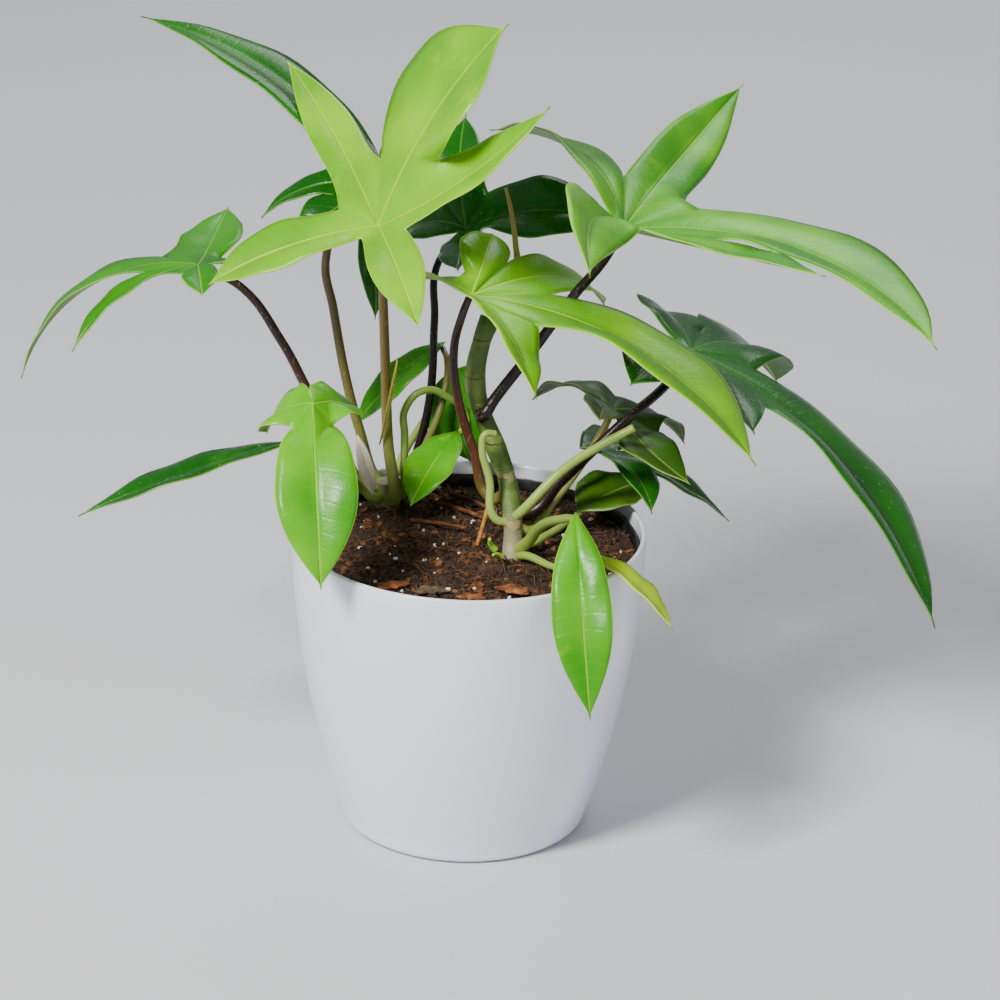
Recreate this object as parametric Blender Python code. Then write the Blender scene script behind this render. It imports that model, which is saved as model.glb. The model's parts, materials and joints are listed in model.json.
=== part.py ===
"""A potted philodendron: lobed leaves on arching petioles, in a nursery pot inside a plain planter.

All sizes are in millimetres and all angles in degrees. The origin is the centre of the
planter's base, +Z is up and the plant's front faces -Y.
"""

import math
from collections import namedtuple

import bpy
from mathutils import Vector

MM = 0.001
GAP = 0.3

# Planter: a tapering round pot with a thin wall and a rounded lip.
PLANTER_HEIGHT = 115
RIM_RADIUS = 65
PLANTER_TAPER = 20.5
TAPER_POWER = 1.9
PLANTER_WALL = 2
PLANTER_FLOOR = 3
FOOT_ROUNDING = 4
POT_SIDES = 36

# Nursery pot: a thin black pot with a collar, standing on the planter's floor.
NURSERY_BOTTOM = PLANTER_FLOOR + GAP
NURSERY_RADIUS = 42
NURSERY_SHOULDER_RADIUS = 61
SHOULDER_HEIGHT = 104.5
COLLAR_RADIUS = 62.2
COLLAR_TOP = 110.5
NURSERY_WALL = 1
NURSERY_FLOOR = 1.5
DRAIN_RADIUS = 4
DRAIN_CIRCLE = 26
DRAINS = 5

# Soil: a plug that fills the nursery pot, with a low mound on top.
SOIL_EDGE = 106
SOIL_MOUND = 2.6
SOIL_RINGS = 4

# Leaf blades: each lobe has a midrib of ROWS steps; lobes share a web out to the sinus between them.
ROWS = 8
WEB_ROWS = 2
BLADE_THICKNESS = 0.8
SHOULDER_SHARE = 0.55
SINUS_BLEND = 0.24
NARROWEST = 0.7

# Stems
STEM_RADIUS = 3.5
LEFT_STEM = Vector((-31, 40, 0))
LEFT_STEM_RADIUS = 4.5
LEFT_STEM_TOP = 116

Lobe = namedtuple("Lobe", "bearing length half_width lift droop sweep bank widest web")
Leaf = namedtuple("Leaf", "name colour junction heading pitch roll cup lobes")


def lobe(bearing, length, half_width, lift=10, droop=30, sweep=0, bank=0, widest=0.5, web=3):
    """One lobe of a leaf. Its midrib leaves the junction at this bearing, to the left of forward,
    rises by lift, then turns down by droop and sideways by sweep along its length. The blade is
    banked about the midrib, widest at this share of the length, and joined to the next lobe on
    its right out to web from the junction."""
    return Lobe(bearing, length, half_width, lift, droop, sweep, bank, widest, web)


def leaf(name, colour, junction, heading, pitch, roll, lobes, cup=10):
    """One leaf. Its junction is where the petiole meets the blade; lobes run from left to right."""
    return Leaf(name, colour, junction, heading, pitch, roll, cup, lobes)


LIME = (0.36, 0.60, 0.10)
BRIGHT = (0.27, 0.52, 0.09)
MID = (0.16, 0.38, 0.08)
DARK = (0.08, 0.24, 0.06)
OLIVE = (0.15, 0.22, 0.05)
YELLOW = (0.62, 0.68, 0.05)

LEAVES = [
    leaf("leaf_crown", LIME, (-35, 12, 227), heading=32, pitch=24, roll=0, lobes=[
        lobe(152, 66, 13, lift=15, droop=26, sweep=6, bank=-8, widest=0.57, web=17),
        lobe(69, 95, 9, lift=18, droop=0, sweep=11, widest=0.5, web=25),
        lobe(-13, 89, 30, lift=49, droop=25, sweep=-6, widest=0.67, web=36),
        lobe(-53, 86, 11, lift=17, droop=-14, sweep=21, bank=9, web=18),
        lobe(-108, 61, 10, lift=8, droop=37, sweep=-6, bank=-5, web=8),
    ]),
    leaf("leaf_back_left", DARK, (-37, 42, 232), heading=134, pitch=20, roll=-5, lobes=[
        lobe(146, 50, 7, lift=-40, droop=30, sweep=20, web=8),
        lobe(84, 38, 10, lift=-16, droop=20, web=16),
        lobe(44, 49, 6, lift=0, droop=68, web=18),
        lobe(-11, 131, 14, lift=7, droop=21, sweep=30, bank=9, web=17),
        lobe(-78, 48, 13, lift=8, droop=37, sweep=7, web=5),
    ]),
    leaf("leaf_back_centre", DARK, (-4, 72, 205), heading=-11, pitch=31, roll=22, lobes=[
        lobe(140, 40, 10, lift=22, droop=60, sweep=17, web=16),
        lobe(78, 50, 11, lift=37, droop=36, web=16),
        lobe(-4, 59, 15, lift=4, droop=55, sweep=-6, bank=8, web=16),
        lobe(-76, 46, 10, lift=23, droop=10, sweep=-13, web=3),
    ]),
    leaf("leaf_front_centre", LIME, (-1, 5, 204), heading=-11, pitch=-19, roll=-8, lobes=[
        lobe(135, 44, 10, lift=0, droop=40, sweep=-5, web=14),
        lobe(96, 40, 11, lift=45, droop=45, web=24),
        lobe(51, 88, 12, lift=28, droop=61, sweep=15, bank=7, web=30),
        lobe(0, 126, 24, lift=18, droop=44, sweep=-28, widest=0.59, web=32),
        lobe(-57, 66, 12, lift=8, droop=36, sweep=7, bank=-16, web=6),
    ]),
    leaf("leaf_right_upper", BRIGHT, (53, 15, 227), heading=-7, pitch=-26, roll=-10, lobes=[
        lobe(113, 102, 16, lift=24, droop=54, sweep=25, web=40),
        lobe(83, 140, 12, lift=13, droop=-15, sweep=-6, bank=10, web=31),
        lobe(-15, 148, 25, lift=35, droop=46, sweep=-44, bank=14, widest=0.42, web=41),
        lobe(-54, 112, 13, lift=18, droop=0, bank=16, web=33),
        lobe(-121, 98, 15, lift=16, droop=36, sweep=52, bank=-17, widest=0.45, web=3),
    ]),
    leaf("leaf_far_left", MID, (-101, 30, 204), heading=173, pitch=-8, roll=12, lobes=[
        lobe(104, 24, 7, lift=-10, droop=23, web=10),
        lobe(36, 60, 10, lift=2, droop=54, bank=5, web=20),
        lobe(3, 86, 13, lift=13, droop=82, bank=-5, web=22),
        lobe(-85, 68, 12, lift=2, droop=-18, sweep=-8, web=20),
        lobe(-121, 40, 12, lift=-5, droop=10, sweep=10, web=4),
    ]),
    leaf("leaf_right_lower", DARK, (80, 40, 171), heading=-11, pitch=-20, roll=-13, lobes=[
        lobe(110, 61, 17, lift=15, droop=34, web=27),
        lobe(72, 92, 20, lift=14, droop=44, sweep=-11, web=29),
        lobe(-7, 142, 21, lift=0, droop=42, sweep=-24, widest=0.56, web=40),
        lobe(-59, 66, 14, lift=2, droop=19, web=30),
        lobe(-107, 61, 16, lift=2, droop=24, sweep=6, web=5),
    ]),
    leaf("leaf_left_front", BRIGHT, (-57, -20, 171), heading=-82, pitch=-20, roll=4, lobes=[
        lobe(131, 32, 11, lift=-25, droop=33, bank=5, web=11),
        lobe(-3, 72, 15, lift=-6, droop=50, widest=0.52, web=11),
        lobe(-121, 31, 12, lift=-21, droop=57, sweep=-5, web=3),
    ]),
    leaf("leaf_left_low", DARK, (-69, 20, 138), heading=192, pitch=-14, roll=5, lobes=[
        lobe(3, 80, 11, lift=3, droop=12, sweep=-5, web=4),
    ]),
    leaf("leaf_back_low", MID, (-13, 66, 160), heading=190, pitch=-42, roll=-21, lobes=[
        lobe(0, 45, 8, lift=11, droop=27, web=3),
    ]),
    leaf("leaf_back_broad", MID, (2, 58, 155), heading=-136, pitch=-49, roll=0, lobes=[
        lobe(-7, 42, 15, lift=0, droop=80, sweep=7, bank=-14, web=3),
    ]),
    leaf("leaf_back_small", BRIGHT, (-6, 43, 134), heading=-122, pitch=-29, roll=0, lobes=[
        lobe(0, 36, 10, lift=13, droop=32, widest=0.53, web=2),
    ]),
    leaf("leaf_mid_right", OLIVE, (52, 35, 149), heading=-16, pitch=-14, roll=-6, lobes=[
        lobe(146, 45, 10, lift=16, droop=74, sweep=5, web=15),
        lobe(57, 47, 9, lift=4, droop=47, sweep=-5, bank=-9, web=19),
        lobe(-50, 58, 11, lift=-7, droop=-9, sweep=11, bank=11, widest=0.44, web=15),
        lobe(-98, 32, 9, lift=20, droop=22, sweep=19, bank=-6, web=3),
    ]),
    leaf("leaf_mid_narrow", DARK, (43, 48, 127), heading=3, pitch=-18, roll=-8, lobes=[
        lobe(59, 46, 10, lift=12, droop=22, sweep=-4, web=14),
        lobe(0, 62, 12, lift=6, droop=31, bank=5, web=15),
        lobe(-56, 52, 10, lift=21, droop=56, sweep=-14, web=3),
    ]),
    leaf("leaf_soil_right", OLIVE, (41, 17, 116), heading=39, pitch=6, roll=8, lobes=[
        lobe(5, 35, 13, lift=8, droop=20, sweep=-5, widest=0.44, web=2),
    ]),
    leaf("leaf_front_hanging", BRIGHT, (38, -46, 138), heading=-88, pitch=-52, roll=4, lobes=[
        lobe(4, 72, 11, lift=11, droop=40, bank=4, web=4),
    ]),
    leaf("leaf_yellow", YELLOW, (45, -36, 121), heading=-39, pitch=-18, roll=-12, lobes=[
        lobe(3, 41, 8, lift=9, droop=37, sweep=4, bank=-8, web=2),
    ]),
]

SHEATHS = [
    leaf("cream_sheath", (0.78, 0.72, 0.56), (-42, 27, 139), heading=10, pitch=-76, roll=90, cup=35, lobes=[
        lobe(0, 25, 3.6, lift=0, droop=0, widest=0.6, web=1),
    ]),
    leaf("yellow_sheath", (0.66, 0.62, 0.16), (-28, 21, 172), heading=120, pitch=-72, roll=150,
         cup=25, lobes=[
        lobe(0, 40, 1.6, lift=0, droop=0, widest=0.5, web=1),
    ]),
]


def beside_left_stem(angle, height, radius):
    """The point where a petiole of this radius leaves the left stem's side."""
    reach = LEFT_STEM_RADIUS + GAP + radius
    turn = math.radians(angle)
    return (LEFT_STEM.x + reach * math.cos(turn), LEFT_STEM.y + reach * math.sin(turn), height)


# Petioles: the leaf that each one carries, its radius at the stem and at the blade, and its route.
PETIOLES = [
    ("petiole_crown", "leaf_crown", 2.2, 1.5, [
        beside_left_stem(290, 111, 2.2), (-31, 34, 134), (-32, 30, 160), (-33, 20, 193), (-34, 14, 216)]),
    ("petiole_back_left", "leaf_back_left", 2.0, 1.4, [
        beside_left_stem(120, 112, 2.0), (-42, 44, 135), (-47, 43, 155), (-52, 43, 183),
        (-55, 43, 202), (-50, 43, 217)]),
    ("petiole_far_left", "leaf_far_left", 2.1, 1.4, [
        beside_left_stem(190, 113, 2.1), (-49, 40, 130), (-59, 39, 148), (-71, 36, 173), (-86, 33, 195)]),
    ("petiole_left_front", "leaf_left_front", 1.8, 1.3, [
        beside_left_stem(228, 111, 1.8), (-41, 32.5, 117), (-46, 27, 124), (-53, 12, 143), (-57, -8, 163)]),
    ("petiole_left_low", "leaf_left_low", 1.7, 1.2, [
        beside_left_stem(155, 110, 1.7), (-43, 40, 113), (-54, 33, 124), (-64, 24, 134)]),
    ("petiole_back_small", "leaf_back_small", 1.6, 1.2, [
        beside_left_stem(330, 112, 1.6), (-25, 37, 122), (-25, 39, 135), (-25, 40, 145),
        (-18, 42, 152), (-9, 45, 148), (-2, 48.5, 138)]),
    ("petiole_back_low", "leaf_back_low", 1.6, 1.1, [
        beside_left_stem(10, 110, 1.6), (-18, 43.5, 127), (-11, 50, 146), (-10, 60, 157)]),
    ("petiole_back_broad", "leaf_back_broad", 1.6, 1.1, [
        beside_left_stem(80, 112, 1.6), (-24, 58, 123), (-10, 69, 140), (1, 67, 152)]),
    ("petiole_back_centre", "leaf_back_centre", 1.8, 1.3, [
        beside_left_stem(45, 110, 1.8), (-20, 50, 126), (-16, 56, 145), (-15, 62, 172), (-14, 68, 193)]),
    ("petiole_front_centre", "leaf_front_centre", 1.9, 1.4, [
        (8.5, 14, 121), (1, 16, 139), (-5, 13, 160), (-7, 9, 181), (-4, 5, 197)]),
    ("petiole_right_upper", "leaf_right_upper", 2.2, 1.6, [
        (4, 15.5, 153), (8, 17, 159), (21, 19, 177), (36, 18, 200), (47, 15, 216)]),
    ("petiole_right_lower", "leaf_right_lower", 2.2, 1.6, [
        (21.5, 8, 118), (33, 10, 130), (53, 9.5, 152), (74, 30, 165)]),
    ("petiole_mid_right", "leaf_mid_right", 1.8, 1.3, [
        (22, 3.5, 113), (30, 15, 119), (42, 25, 133), (50, 33, 145)]),
    ("petiole_mid_narrow", "leaf_mid_narrow", 1.6, 1.2, [
        (21, 16, 113.5), (28, 24, 115), (38, 40, 122)]),
    ("petiole_soil_right", "leaf_soil_right", 1.5, 1.1, [
        (22, -5, 111.5), (29, 2, 112.5), (36, 11, 113.5)]),
    ("petiole_front_hanging", "leaf_front_hanging", 2.0, 1.3, [
        (20.5, -11.5, 114), (26, -22, 126), (32, -33, 133.5), (37, -40, 137)]),
    ("petiole_yellow", "leaf_yellow", 1.4, 1.0, [
        (21.5, -14.5, 110.8), (32, -24, 110.8), (41, -33, 117)]),
]

GREEN_PETIOLE = (0.30, 0.42, 0.10)
DARK_PETIOLE = (0.12, 0.05, 0.04)
DARK_STALKS = ("petiole_crown", "petiole_far_left", "petiole_right_lower", "petiole_front_centre")

MAIN_STEM_ROUTE = [
    (16, -9, 97.5), (16, -8, 108), (16, 0, 115), (15, 9, 121.5), (13, 17, 129),
    (9, 20, 139), (4, 22, 151), (1, 22, 163), (3, 22, 180), (6, 25, 188)]
LEFT_STEM_ROUTE = [(-31, 40, 95.5), (-31, 40, 106), (-31, 40, LEFT_STEM_TOP)]

# Roots inside the soil: two under each stem, spreading and running down.
ROOT_RADIUS = 1.2
ROOT_ROUTES = [
    [(14.3, -9, 98.6), (13, -15, 85), (6, -24, 62), (3, -22, 36)],
    [(17.9, -9, 98.6), (25, -6, 84), (34, 5, 62), (30, 14, 38)],
    [(-29, 40, 96.6), (-27, 33, 80), (-20, 20, 58), (-14, 12, 34)],
    [(-33, 40, 96.6), (-37, 28, 80), (-36, 8, 60), (-27, -8, 40)],
]

# Tubes that lie or stand on the soil: name, colour, radius at each end, route.
LOOSE_TUBES = [
    ("cut_petiole", (0.42, 0.55, 0.18), 1.8, 1.5, [
        (19, 0.5, 122), (34, 4, 137.5), (46, 3, 147), (59, 3, 155)]),
    ("hooked_petiole", GREEN_PETIOLE, 1.6, 1.1, [
        (9.3, 0.5, 119), (7, 5, 132), (4, 7, 145), (5, 8, 149), (9, 9, 149)]),
    ("new_leaf_spear", LIME, 2.2, 0.6, [
        (6.4, 25.4, 189.2), (7.5, 28, 192.5), (11, 36, 196.5), (15, 45, 201), (14.5, 49, 208),
        (12.5, 50, 221), (10.5, 51, 229)]),
    ("aerial_root", (0.62, 0.45, 0.12), 0.9, 0.7, [(7, 8.5, 121), (5, 3, 115), (3, -4, 109.8)]),
    ("surface_root_1", (0.24, 0.12, 0.06), 0.9, 0.7, [(-15, 38, 109.3), (-4, 29, 110.2), (5, 20, 110.6)]),
    ("surface_root_2", (0.24, 0.12, 0.06), 0.8, 0.6, [(-8, 46, 108.9), (3, 36, 109.6), (9, 25, 110.4)]),
    ("surface_root_3", (0.24, 0.12, 0.06), 0.8, 0.6, [(-22, 18, 109.9), (-10, 14, 110.5), (-1, 10, 110.7)]),
    ("side_shoot_1", LIME, 1.4, 0.6, [(9.5, -9, 110.8), (8, -10, 113), (7.5, -12, 116)]),
    ("side_shoot_2", LIME, 1.2, 0.5, [(12, -15, 110.4), (10.5, -16.5, 112), (9, -19, 113)]),
]

# Bark chips on the soil: place, turn, length, width and thickness.
CHIP_COLOUR = (0.42, 0.20, 0.08)
CHIPS = [
    ("bark_chip_1", (-27, -38), 20, 12, 7, 2.4),
    ("bark_chip_2", (-13, -42), -15, 11, 7, 2.6),
    ("bark_chip_3", (2, -46), 35, 9, 6, 2.2),
    ("bark_chip_4", (17, -40), 10, 12, 8, 2.8),
]


def clear_scene():
    """Removes every object of the startup scene."""
    for obj in list(bpy.data.objects):
        bpy.data.objects.remove(obj, do_unlink=True)


def material(name, colour, roughness, metallic=0.0):
    """A plain Principled material."""
    made = bpy.data.materials.new(name)
    made.use_nodes = True
    shader = made.node_tree.nodes["Principled BSDF"]
    shader.inputs["Base Color"].default_value = (*colour, 1)
    shader.inputs["Roughness"].default_value = roughness
    shader.inputs["Metallic"].default_value = metallic
    return made


def add_object(name, data, parent, finish):
    """Links a new object with one material under its parent."""
    obj = bpy.data.objects.new(name, data)
    data.materials.append(finish)
    bpy.context.scene.collection.objects.link(obj)
    obj.parent = parent
    return obj


def as_helper(obj):
    """Marks an object as a cutter."""
    obj.hide_render = True
    obj.display_type = "WIRE"


def smooth(mesh, angle=40):
    """Shades a mesh smooth, with its sharper edges kept."""
    mesh.shade_smooth()
    mesh.set_sharp_from_angle(angle=math.radians(angle))


# Pots and soil


def turned(name, profile, parent, finish):
    """A body turned about Z from a profile that ends on the axis; its outer side runs down."""
    mesh = bpy.data.meshes.new(name)
    points = [(radius * MM, 0, height * MM) for radius, height in profile]
    mesh.from_pydata(points, [(i, i + 1) for i in range(len(points) - 1)], [])
    obj = add_object(name, mesh, parent, finish)
    screw = obj.modifiers.new("turn", "SCREW")
    screw.steps = POT_SIDES
    screw.render_steps = POT_SIDES
    screw.use_merge_vertices = True
    screw.merge_threshold = 0.00001
    screw.use_smooth_shade = True
    return obj


def planter_radius(height):
    """The planter's outer radius at this height."""
    return RIM_RADIUS - PLANTER_TAPER * (1 - height / PLANTER_HEIGHT) ** TAPER_POWER


def planter_profile():
    """The planter's section: up the inside from the floor, over the lip and down the outside."""
    lip = PLANTER_WALL / 2
    inside = [(0, PLANTER_FLOOR)]
    for height in (PLANTER_FLOOR, 12, 26, 42, 60, 80, 100, PLANTER_HEIGHT - lip):
        inside.append((planter_radius(height) - PLANTER_WALL, height))
    crest = [
        (RIM_RADIUS - PLANTER_WALL * 0.7, PLANTER_HEIGHT - 0.2), (RIM_RADIUS - lip * 0.7, PLANTER_HEIGHT)]
    outside = []
    for height in (PLANTER_HEIGHT - lip, 100, 80, 60, 42, 26, 12):
        outside.append((planter_radius(height), height))
    foot = []
    centre = planter_radius(FOOT_ROUNDING) - FOOT_ROUNDING
    for angle in (0, 30, 60, 90):
        turn = math.radians(angle)
        foot.append((centre + FOOT_ROUNDING * math.cos(turn), FOOT_ROUNDING * (1 - math.sin(turn))))
    return inside + crest + outside + foot + [(0, 0)]


def nursery_radius(height):
    """The nursery pot's outer radius at this height, below its collar."""
    share = (height - NURSERY_BOTTOM) / (SHOULDER_HEIGHT - NURSERY_BOTTOM)
    return NURSERY_RADIUS + (NURSERY_SHOULDER_RADIUS - NURSERY_RADIUS) * share


def nursery_profile():
    """The nursery pot's section, with the collar stepped out round its top."""
    floor = NURSERY_BOTTOM + NURSERY_FLOOR
    step = SHOULDER_HEIGHT + NURSERY_WALL
    return [
        (0, floor),
        (nursery_radius(floor) - NURSERY_WALL, floor),
        (NURSERY_SHOULDER_RADIUS - NURSERY_WALL, SHOULDER_HEIGHT),
        (COLLAR_RADIUS - NURSERY_WALL, step),
        (COLLAR_RADIUS - NURSERY_WALL, COLLAR_TOP),
        (COLLAR_RADIUS, COLLAR_TOP),
        (COLLAR_RADIUS, SHOULDER_HEIGHT),
        (NURSERY_SHOULDER_RADIUS, SHOULDER_HEIGHT - NURSERY_WALL),
        (NURSERY_RADIUS, NURSERY_BOTTOM),
        (0, NURSERY_BOTTOM),
    ]


def cut(body, cutter, name):
    """Takes a cutter's shape out of a body."""
    as_helper(cutter)
    boolean = body.modifiers.new(name, "BOOLEAN")
    boolean.operation = "DIFFERENCE"
    boolean.solver = "EXACT"
    boolean.object = cutter


def cut_drains(nursery, parent, finish):
    """Drainage holes in a ring round the nursery pot's floor."""
    for index in range(DRAINS):
        turn = math.radians(360 * index / DRAINS + 9)
        bpy.ops.mesh.primitive_cylinder_add(
            vertices=12,
            radius=DRAIN_RADIUS * MM,
            depth=6 * MM,
            location=(
                DRAIN_CIRCLE * math.cos(turn) * MM,
                DRAIN_CIRCLE * math.sin(turn) * MM,
                (NURSERY_BOTTOM + NURSERY_FLOOR / 2) * MM,
            ),
        )
        drill = bpy.context.object
        drill.name = f"drain_cutter_{index + 1}"
        drill.data.materials.append(finish)
        drill.parent = parent
        cut(nursery, drill, drill.name)


def soil_radius():
    """The radius of the soil's top edge."""
    return COLLAR_RADIUS - NURSERY_WALL - GAP


def soil_height(radius):
    """The height of the soil's surface at this distance from the middle."""
    return SOIL_EDGE + SOIL_MOUND * (1 - (radius / soil_radius()) ** 2)


def soil_profile():
    """The soil's section: out over the mound, then down beside the nursery pot's wall."""
    bottom = NURSERY_BOTTOM + NURSERY_FLOOR + GAP
    step = SHOULDER_HEIGHT + NURSERY_WALL + GAP
    top = []
    for ring in range(SOIL_RINGS + 1):
        radius = soil_radius() * ring / SOIL_RINGS
        top.append((radius, soil_height(radius)))
    side = [
        (soil_radius(), step),
        (NURSERY_SHOULDER_RADIUS - NURSERY_WALL - GAP, SHOULDER_HEIGHT + GAP),
        (nursery_radius(bottom) - NURSERY_WALL - GAP, bottom),
    ]
    return top + side + [(0, bottom)]


# Stems, petioles and roots


def tube(name, route, start, end, parent, finish, sides=1, trim=(0, 0)):
    """A tapering round stalk through the route's points, closed at both ends. It leaves out these
    shares of the route at its start and its end."""
    curve = bpy.data.curves.new(name, "CURVE")
    curve.dimensions = "3D"
    curve.bevel_depth = MM
    curve.bevel_resolution = sides
    curve.resolution_u = 3
    curve.use_fill_caps = True
    curve.bevel_factor_start = trim[0]
    curve.bevel_factor_end = 1 - trim[1]
    spline = curve.splines.new("BEZIER")
    spline.bezier_points.add(len(route) - 1)
    origin = Vector(route[0]) * MM
    for index, (point, place) in enumerate(zip(spline.bezier_points, route)):
        point.co = Vector(place) * MM - origin
        point.handle_left_type = "AUTO"
        point.handle_right_type = "AUTO"
        point.radius = start + (end - start) * index / (len(route) - 1)
    obj = add_object(name, curve, parent, finish)
    obj.location = origin
    return obj


def channel(name, route, radius, parent, finish, sides=1):
    """A cutter a little wider than the stem or root that lies in it."""
    shape = tube(name + "_curve", route, radius + GAP, radius + GAP, parent, finish, sides)
    bpy.context.view_layer.update()
    evaluated = shape.evaluated_get(bpy.context.evaluated_depsgraph_get())
    mesh = bpy.data.meshes.new_from_object(evaluated)
    bpy.data.objects.remove(shape, do_unlink=True)
    cutter = bpy.data.objects.new(name, mesh)
    bpy.context.scene.collection.objects.link(cutter)
    cutter.location = Vector(route[0]) * MM
    cutter.parent = parent
    weld = cutter.modifiers.new("weld", "WELD")
    weld.merge_threshold = 0.00001
    return cutter


def add_stems(soil, parent, finish):
    """Both stems, each in its own socket in the soil, which is a little deeper than the stem."""
    stems = (
        ("main", MAIN_STEM_ROUTE, STEM_RADIUS, 0.015),
        ("left", LEFT_STEM_ROUTE, LEFT_STEM_RADIUS, 0.07))
    for name, route, radius, trim in stems:
        tube(name + "_stem", route, radius, radius, parent, finish, sides=2, trim=(trim, 0))
        cut(soil, channel(name + "_socket", route, radius, parent, finish, sides=2), name + "_socket")


def add_roots(soil, parent, finish):
    """Roots that run down into the soil, each in its own channel, open to the stem's socket."""
    for index, route in enumerate(ROOT_ROUTES):
        name = f"root_{index + 1}"
        tube(name, route, ROOT_RADIUS, ROOT_RADIUS * 0.6, parent, finish, trim=(0.012, 0.012))
        cut(soil, channel(name + "_channel", route, ROOT_RADIUS, parent, finish), name + "_channel")


# Leaf blades


def midrib_direction(spec, share):
    """The way that a lobe's midrib runs at this share of its length."""
    turn = math.radians(spec.bearing + spec.sweep * share)
    rise = math.radians(spec.lift - spec.droop * share)
    return Vector((math.cos(rise) * math.cos(turn), math.cos(rise) * math.sin(turn), math.sin(rise)))


def midrib_axes(spec, share):
    """The left and up directions of the blade beside the midrib."""
    turn = math.radians(spec.bearing + spec.sweep * share)
    level = Vector((-math.sin(turn), math.cos(turn), 0))
    up = midrib_direction(spec, share).cross(level)
    bank = math.radians(spec.bank) * min(share / 0.5, 1)
    side = level * math.cos(bank) + up * math.sin(bank)
    return side, midrib_direction(spec, share).cross(side)


def midrib(spec):
    """Points from the junction to the lobe's tip."""
    points = [Vector((0, 0, 0))]
    for row in range(ROWS):
        points.append(points[-1] + midrib_direction(spec, (row + 0.5) / ROWS) * spec.length / ROWS)
    return points


def along(points, share):
    """The point at this share of a midrib."""
    place = min(max(share, 0), 1) * ROWS
    row = min(int(place), ROWS - 1)
    return points[row].lerp(points[row + 1], place - row)


def half_width(spec, share):
    """How far the blade's edge is from the midrib at this share of its length."""
    if share < spec.widest:
        rise = math.sin(math.pi / 2 * share / spec.widest) ** 1.3
        return spec.half_width * (SHOULDER_SHARE + (1 - SHOULDER_SHARE) * rise)
    fall = (share - spec.widest) / (1 - spec.widest)
    return max(spec.half_width * (1 - fall ** 1.9) ** 1.1, NARROWEST if share < 1 else 0)


def sinus(lobes, midribs, index):
    """The bottom of the bay between a lobe and the next, or of the notch behind the junction."""
    reach = lobes[index].web
    if index == len(lobes) - 1:
        return Vector((-reach, 0, 0))
    here = along(midribs[index], reach / lobes[index].length)
    there = along(midribs[index + 1], reach / lobes[index + 1].length)
    return (here + there).normalized() * reach


def nearest_share(points, place):
    """The share of a midrib that comes nearest to a place."""
    shares = [step / 60 for step in range(43)]
    return min(shares, key=lambda share: (along(points, share) - place).length)


def lobe_edge(spec, points, bay, side, cup):
    """The free edge of one side of a lobe, from the bay to the row before the tip."""
    start = nearest_share(points, bay)
    rows = ROWS - WEB_ROWS
    pull = None
    edge = []
    for row in range(rows):
        share = start + (1 - start) * row / rows
        left, up = midrib_axes(spec, share)
        width = half_width(spec, share)
        lean = math.radians(cup)
        place = along(points, share) + left * side * width * math.cos(lean) + up * width * math.sin(lean)
        pull = bay - place if pull is None else pull
        fade = 1 - min((share - start) / SINUS_BLEND, 1)
        edge.append(place + pull * fade ** 2)
    return edge


class BladeMesh:
    """Collects a blade's points and faces."""

    def __init__(self):
        self.points = []
        self.faces = []

    def add(self, place):
        """Stores a point and returns its number."""
        self.points.append(tuple(place * MM))
        return len(self.points) - 1

    def strip(self, spine, edge, side):
        """Faces between a midrib and one edge, which meet at the junction and at the tip."""
        for row in range(len(spine) - 1):
            corners = [spine[row], spine[row + 1], edge[row + 1], edge[row]]
            face = list(dict.fromkeys(corners))
            self.faces.append(face if side > 0 else face[::-1])


def blade_mesh(spec):
    """The middle surface of a leaf in its own frame: +X forward, +Y left, +Z out of its upper side."""
    mesh = BladeMesh()
    junction = mesh.add(Vector((0, 0, 0)))
    lobes = spec.lobes
    midribs = [midrib(item) for item in lobes]
    bays = [sinus(lobes, midribs, index) for index in range(len(lobes))]
    webs = []
    for bay in bays:
        webs.append([mesh.add(bay * step / WEB_ROWS) for step in range(1, WEB_ROWS + 1)])
    for index, item in enumerate(lobes):
        spine = [junction] + [mesh.add(place) for place in midribs[index][1:]]
        for side, bay in ((1, index - 1), (-1, index)):
            edge = lobe_edge(item, midribs[index], bays[bay], side, spec.cup)
            free = [mesh.add(place) for place in edge[1:]]
            mesh.strip(spine, [junction] + webs[bay] + free + [spine[-1]], side)
    data = bpy.data.meshes.new(spec.name)
    data.from_pydata(mesh.points, [], mesh.faces)
    smooth(data, 60)
    return data


def add_blade(spec, parent, finish):
    """A leaf as one thin closed body, placed at its junction."""
    obj = add_object(spec.name, blade_mesh(spec), parent, finish)
    obj.location = Vector(spec.junction) * MM
    obj.rotation_euler = (math.radians(spec.roll), math.radians(-spec.pitch), math.radians(spec.heading))
    solidify = obj.modifiers.new("thickness", "SOLIDIFY")
    solidify.thickness = BLADE_THICKNESS * MM
    solidify.offset = 0
    return obj


def petiole_end(blade, radius):
    """The petiole's last point, just below the blade at its junction."""
    drop = BLADE_THICKNESS / 2 + 2 * GAP + radius
    below = blade.matrix_basis.to_3x3() @ Vector((-0.5, 0, -drop))
    return tuple(blade.matrix_basis.translation / MM + below)


def add_petioles(blades, parent, finishes):
    """Each leaf's petiole, from its stem to its blade."""
    for name, carried, start, end, route in PETIOLES:
        dark = name in DARK_STALKS
        tip = petiole_end(blades[carried], end)
        tube(name, route + [tip], start, end, parent, finishes[dark])


# Small pieces on the soil


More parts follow.
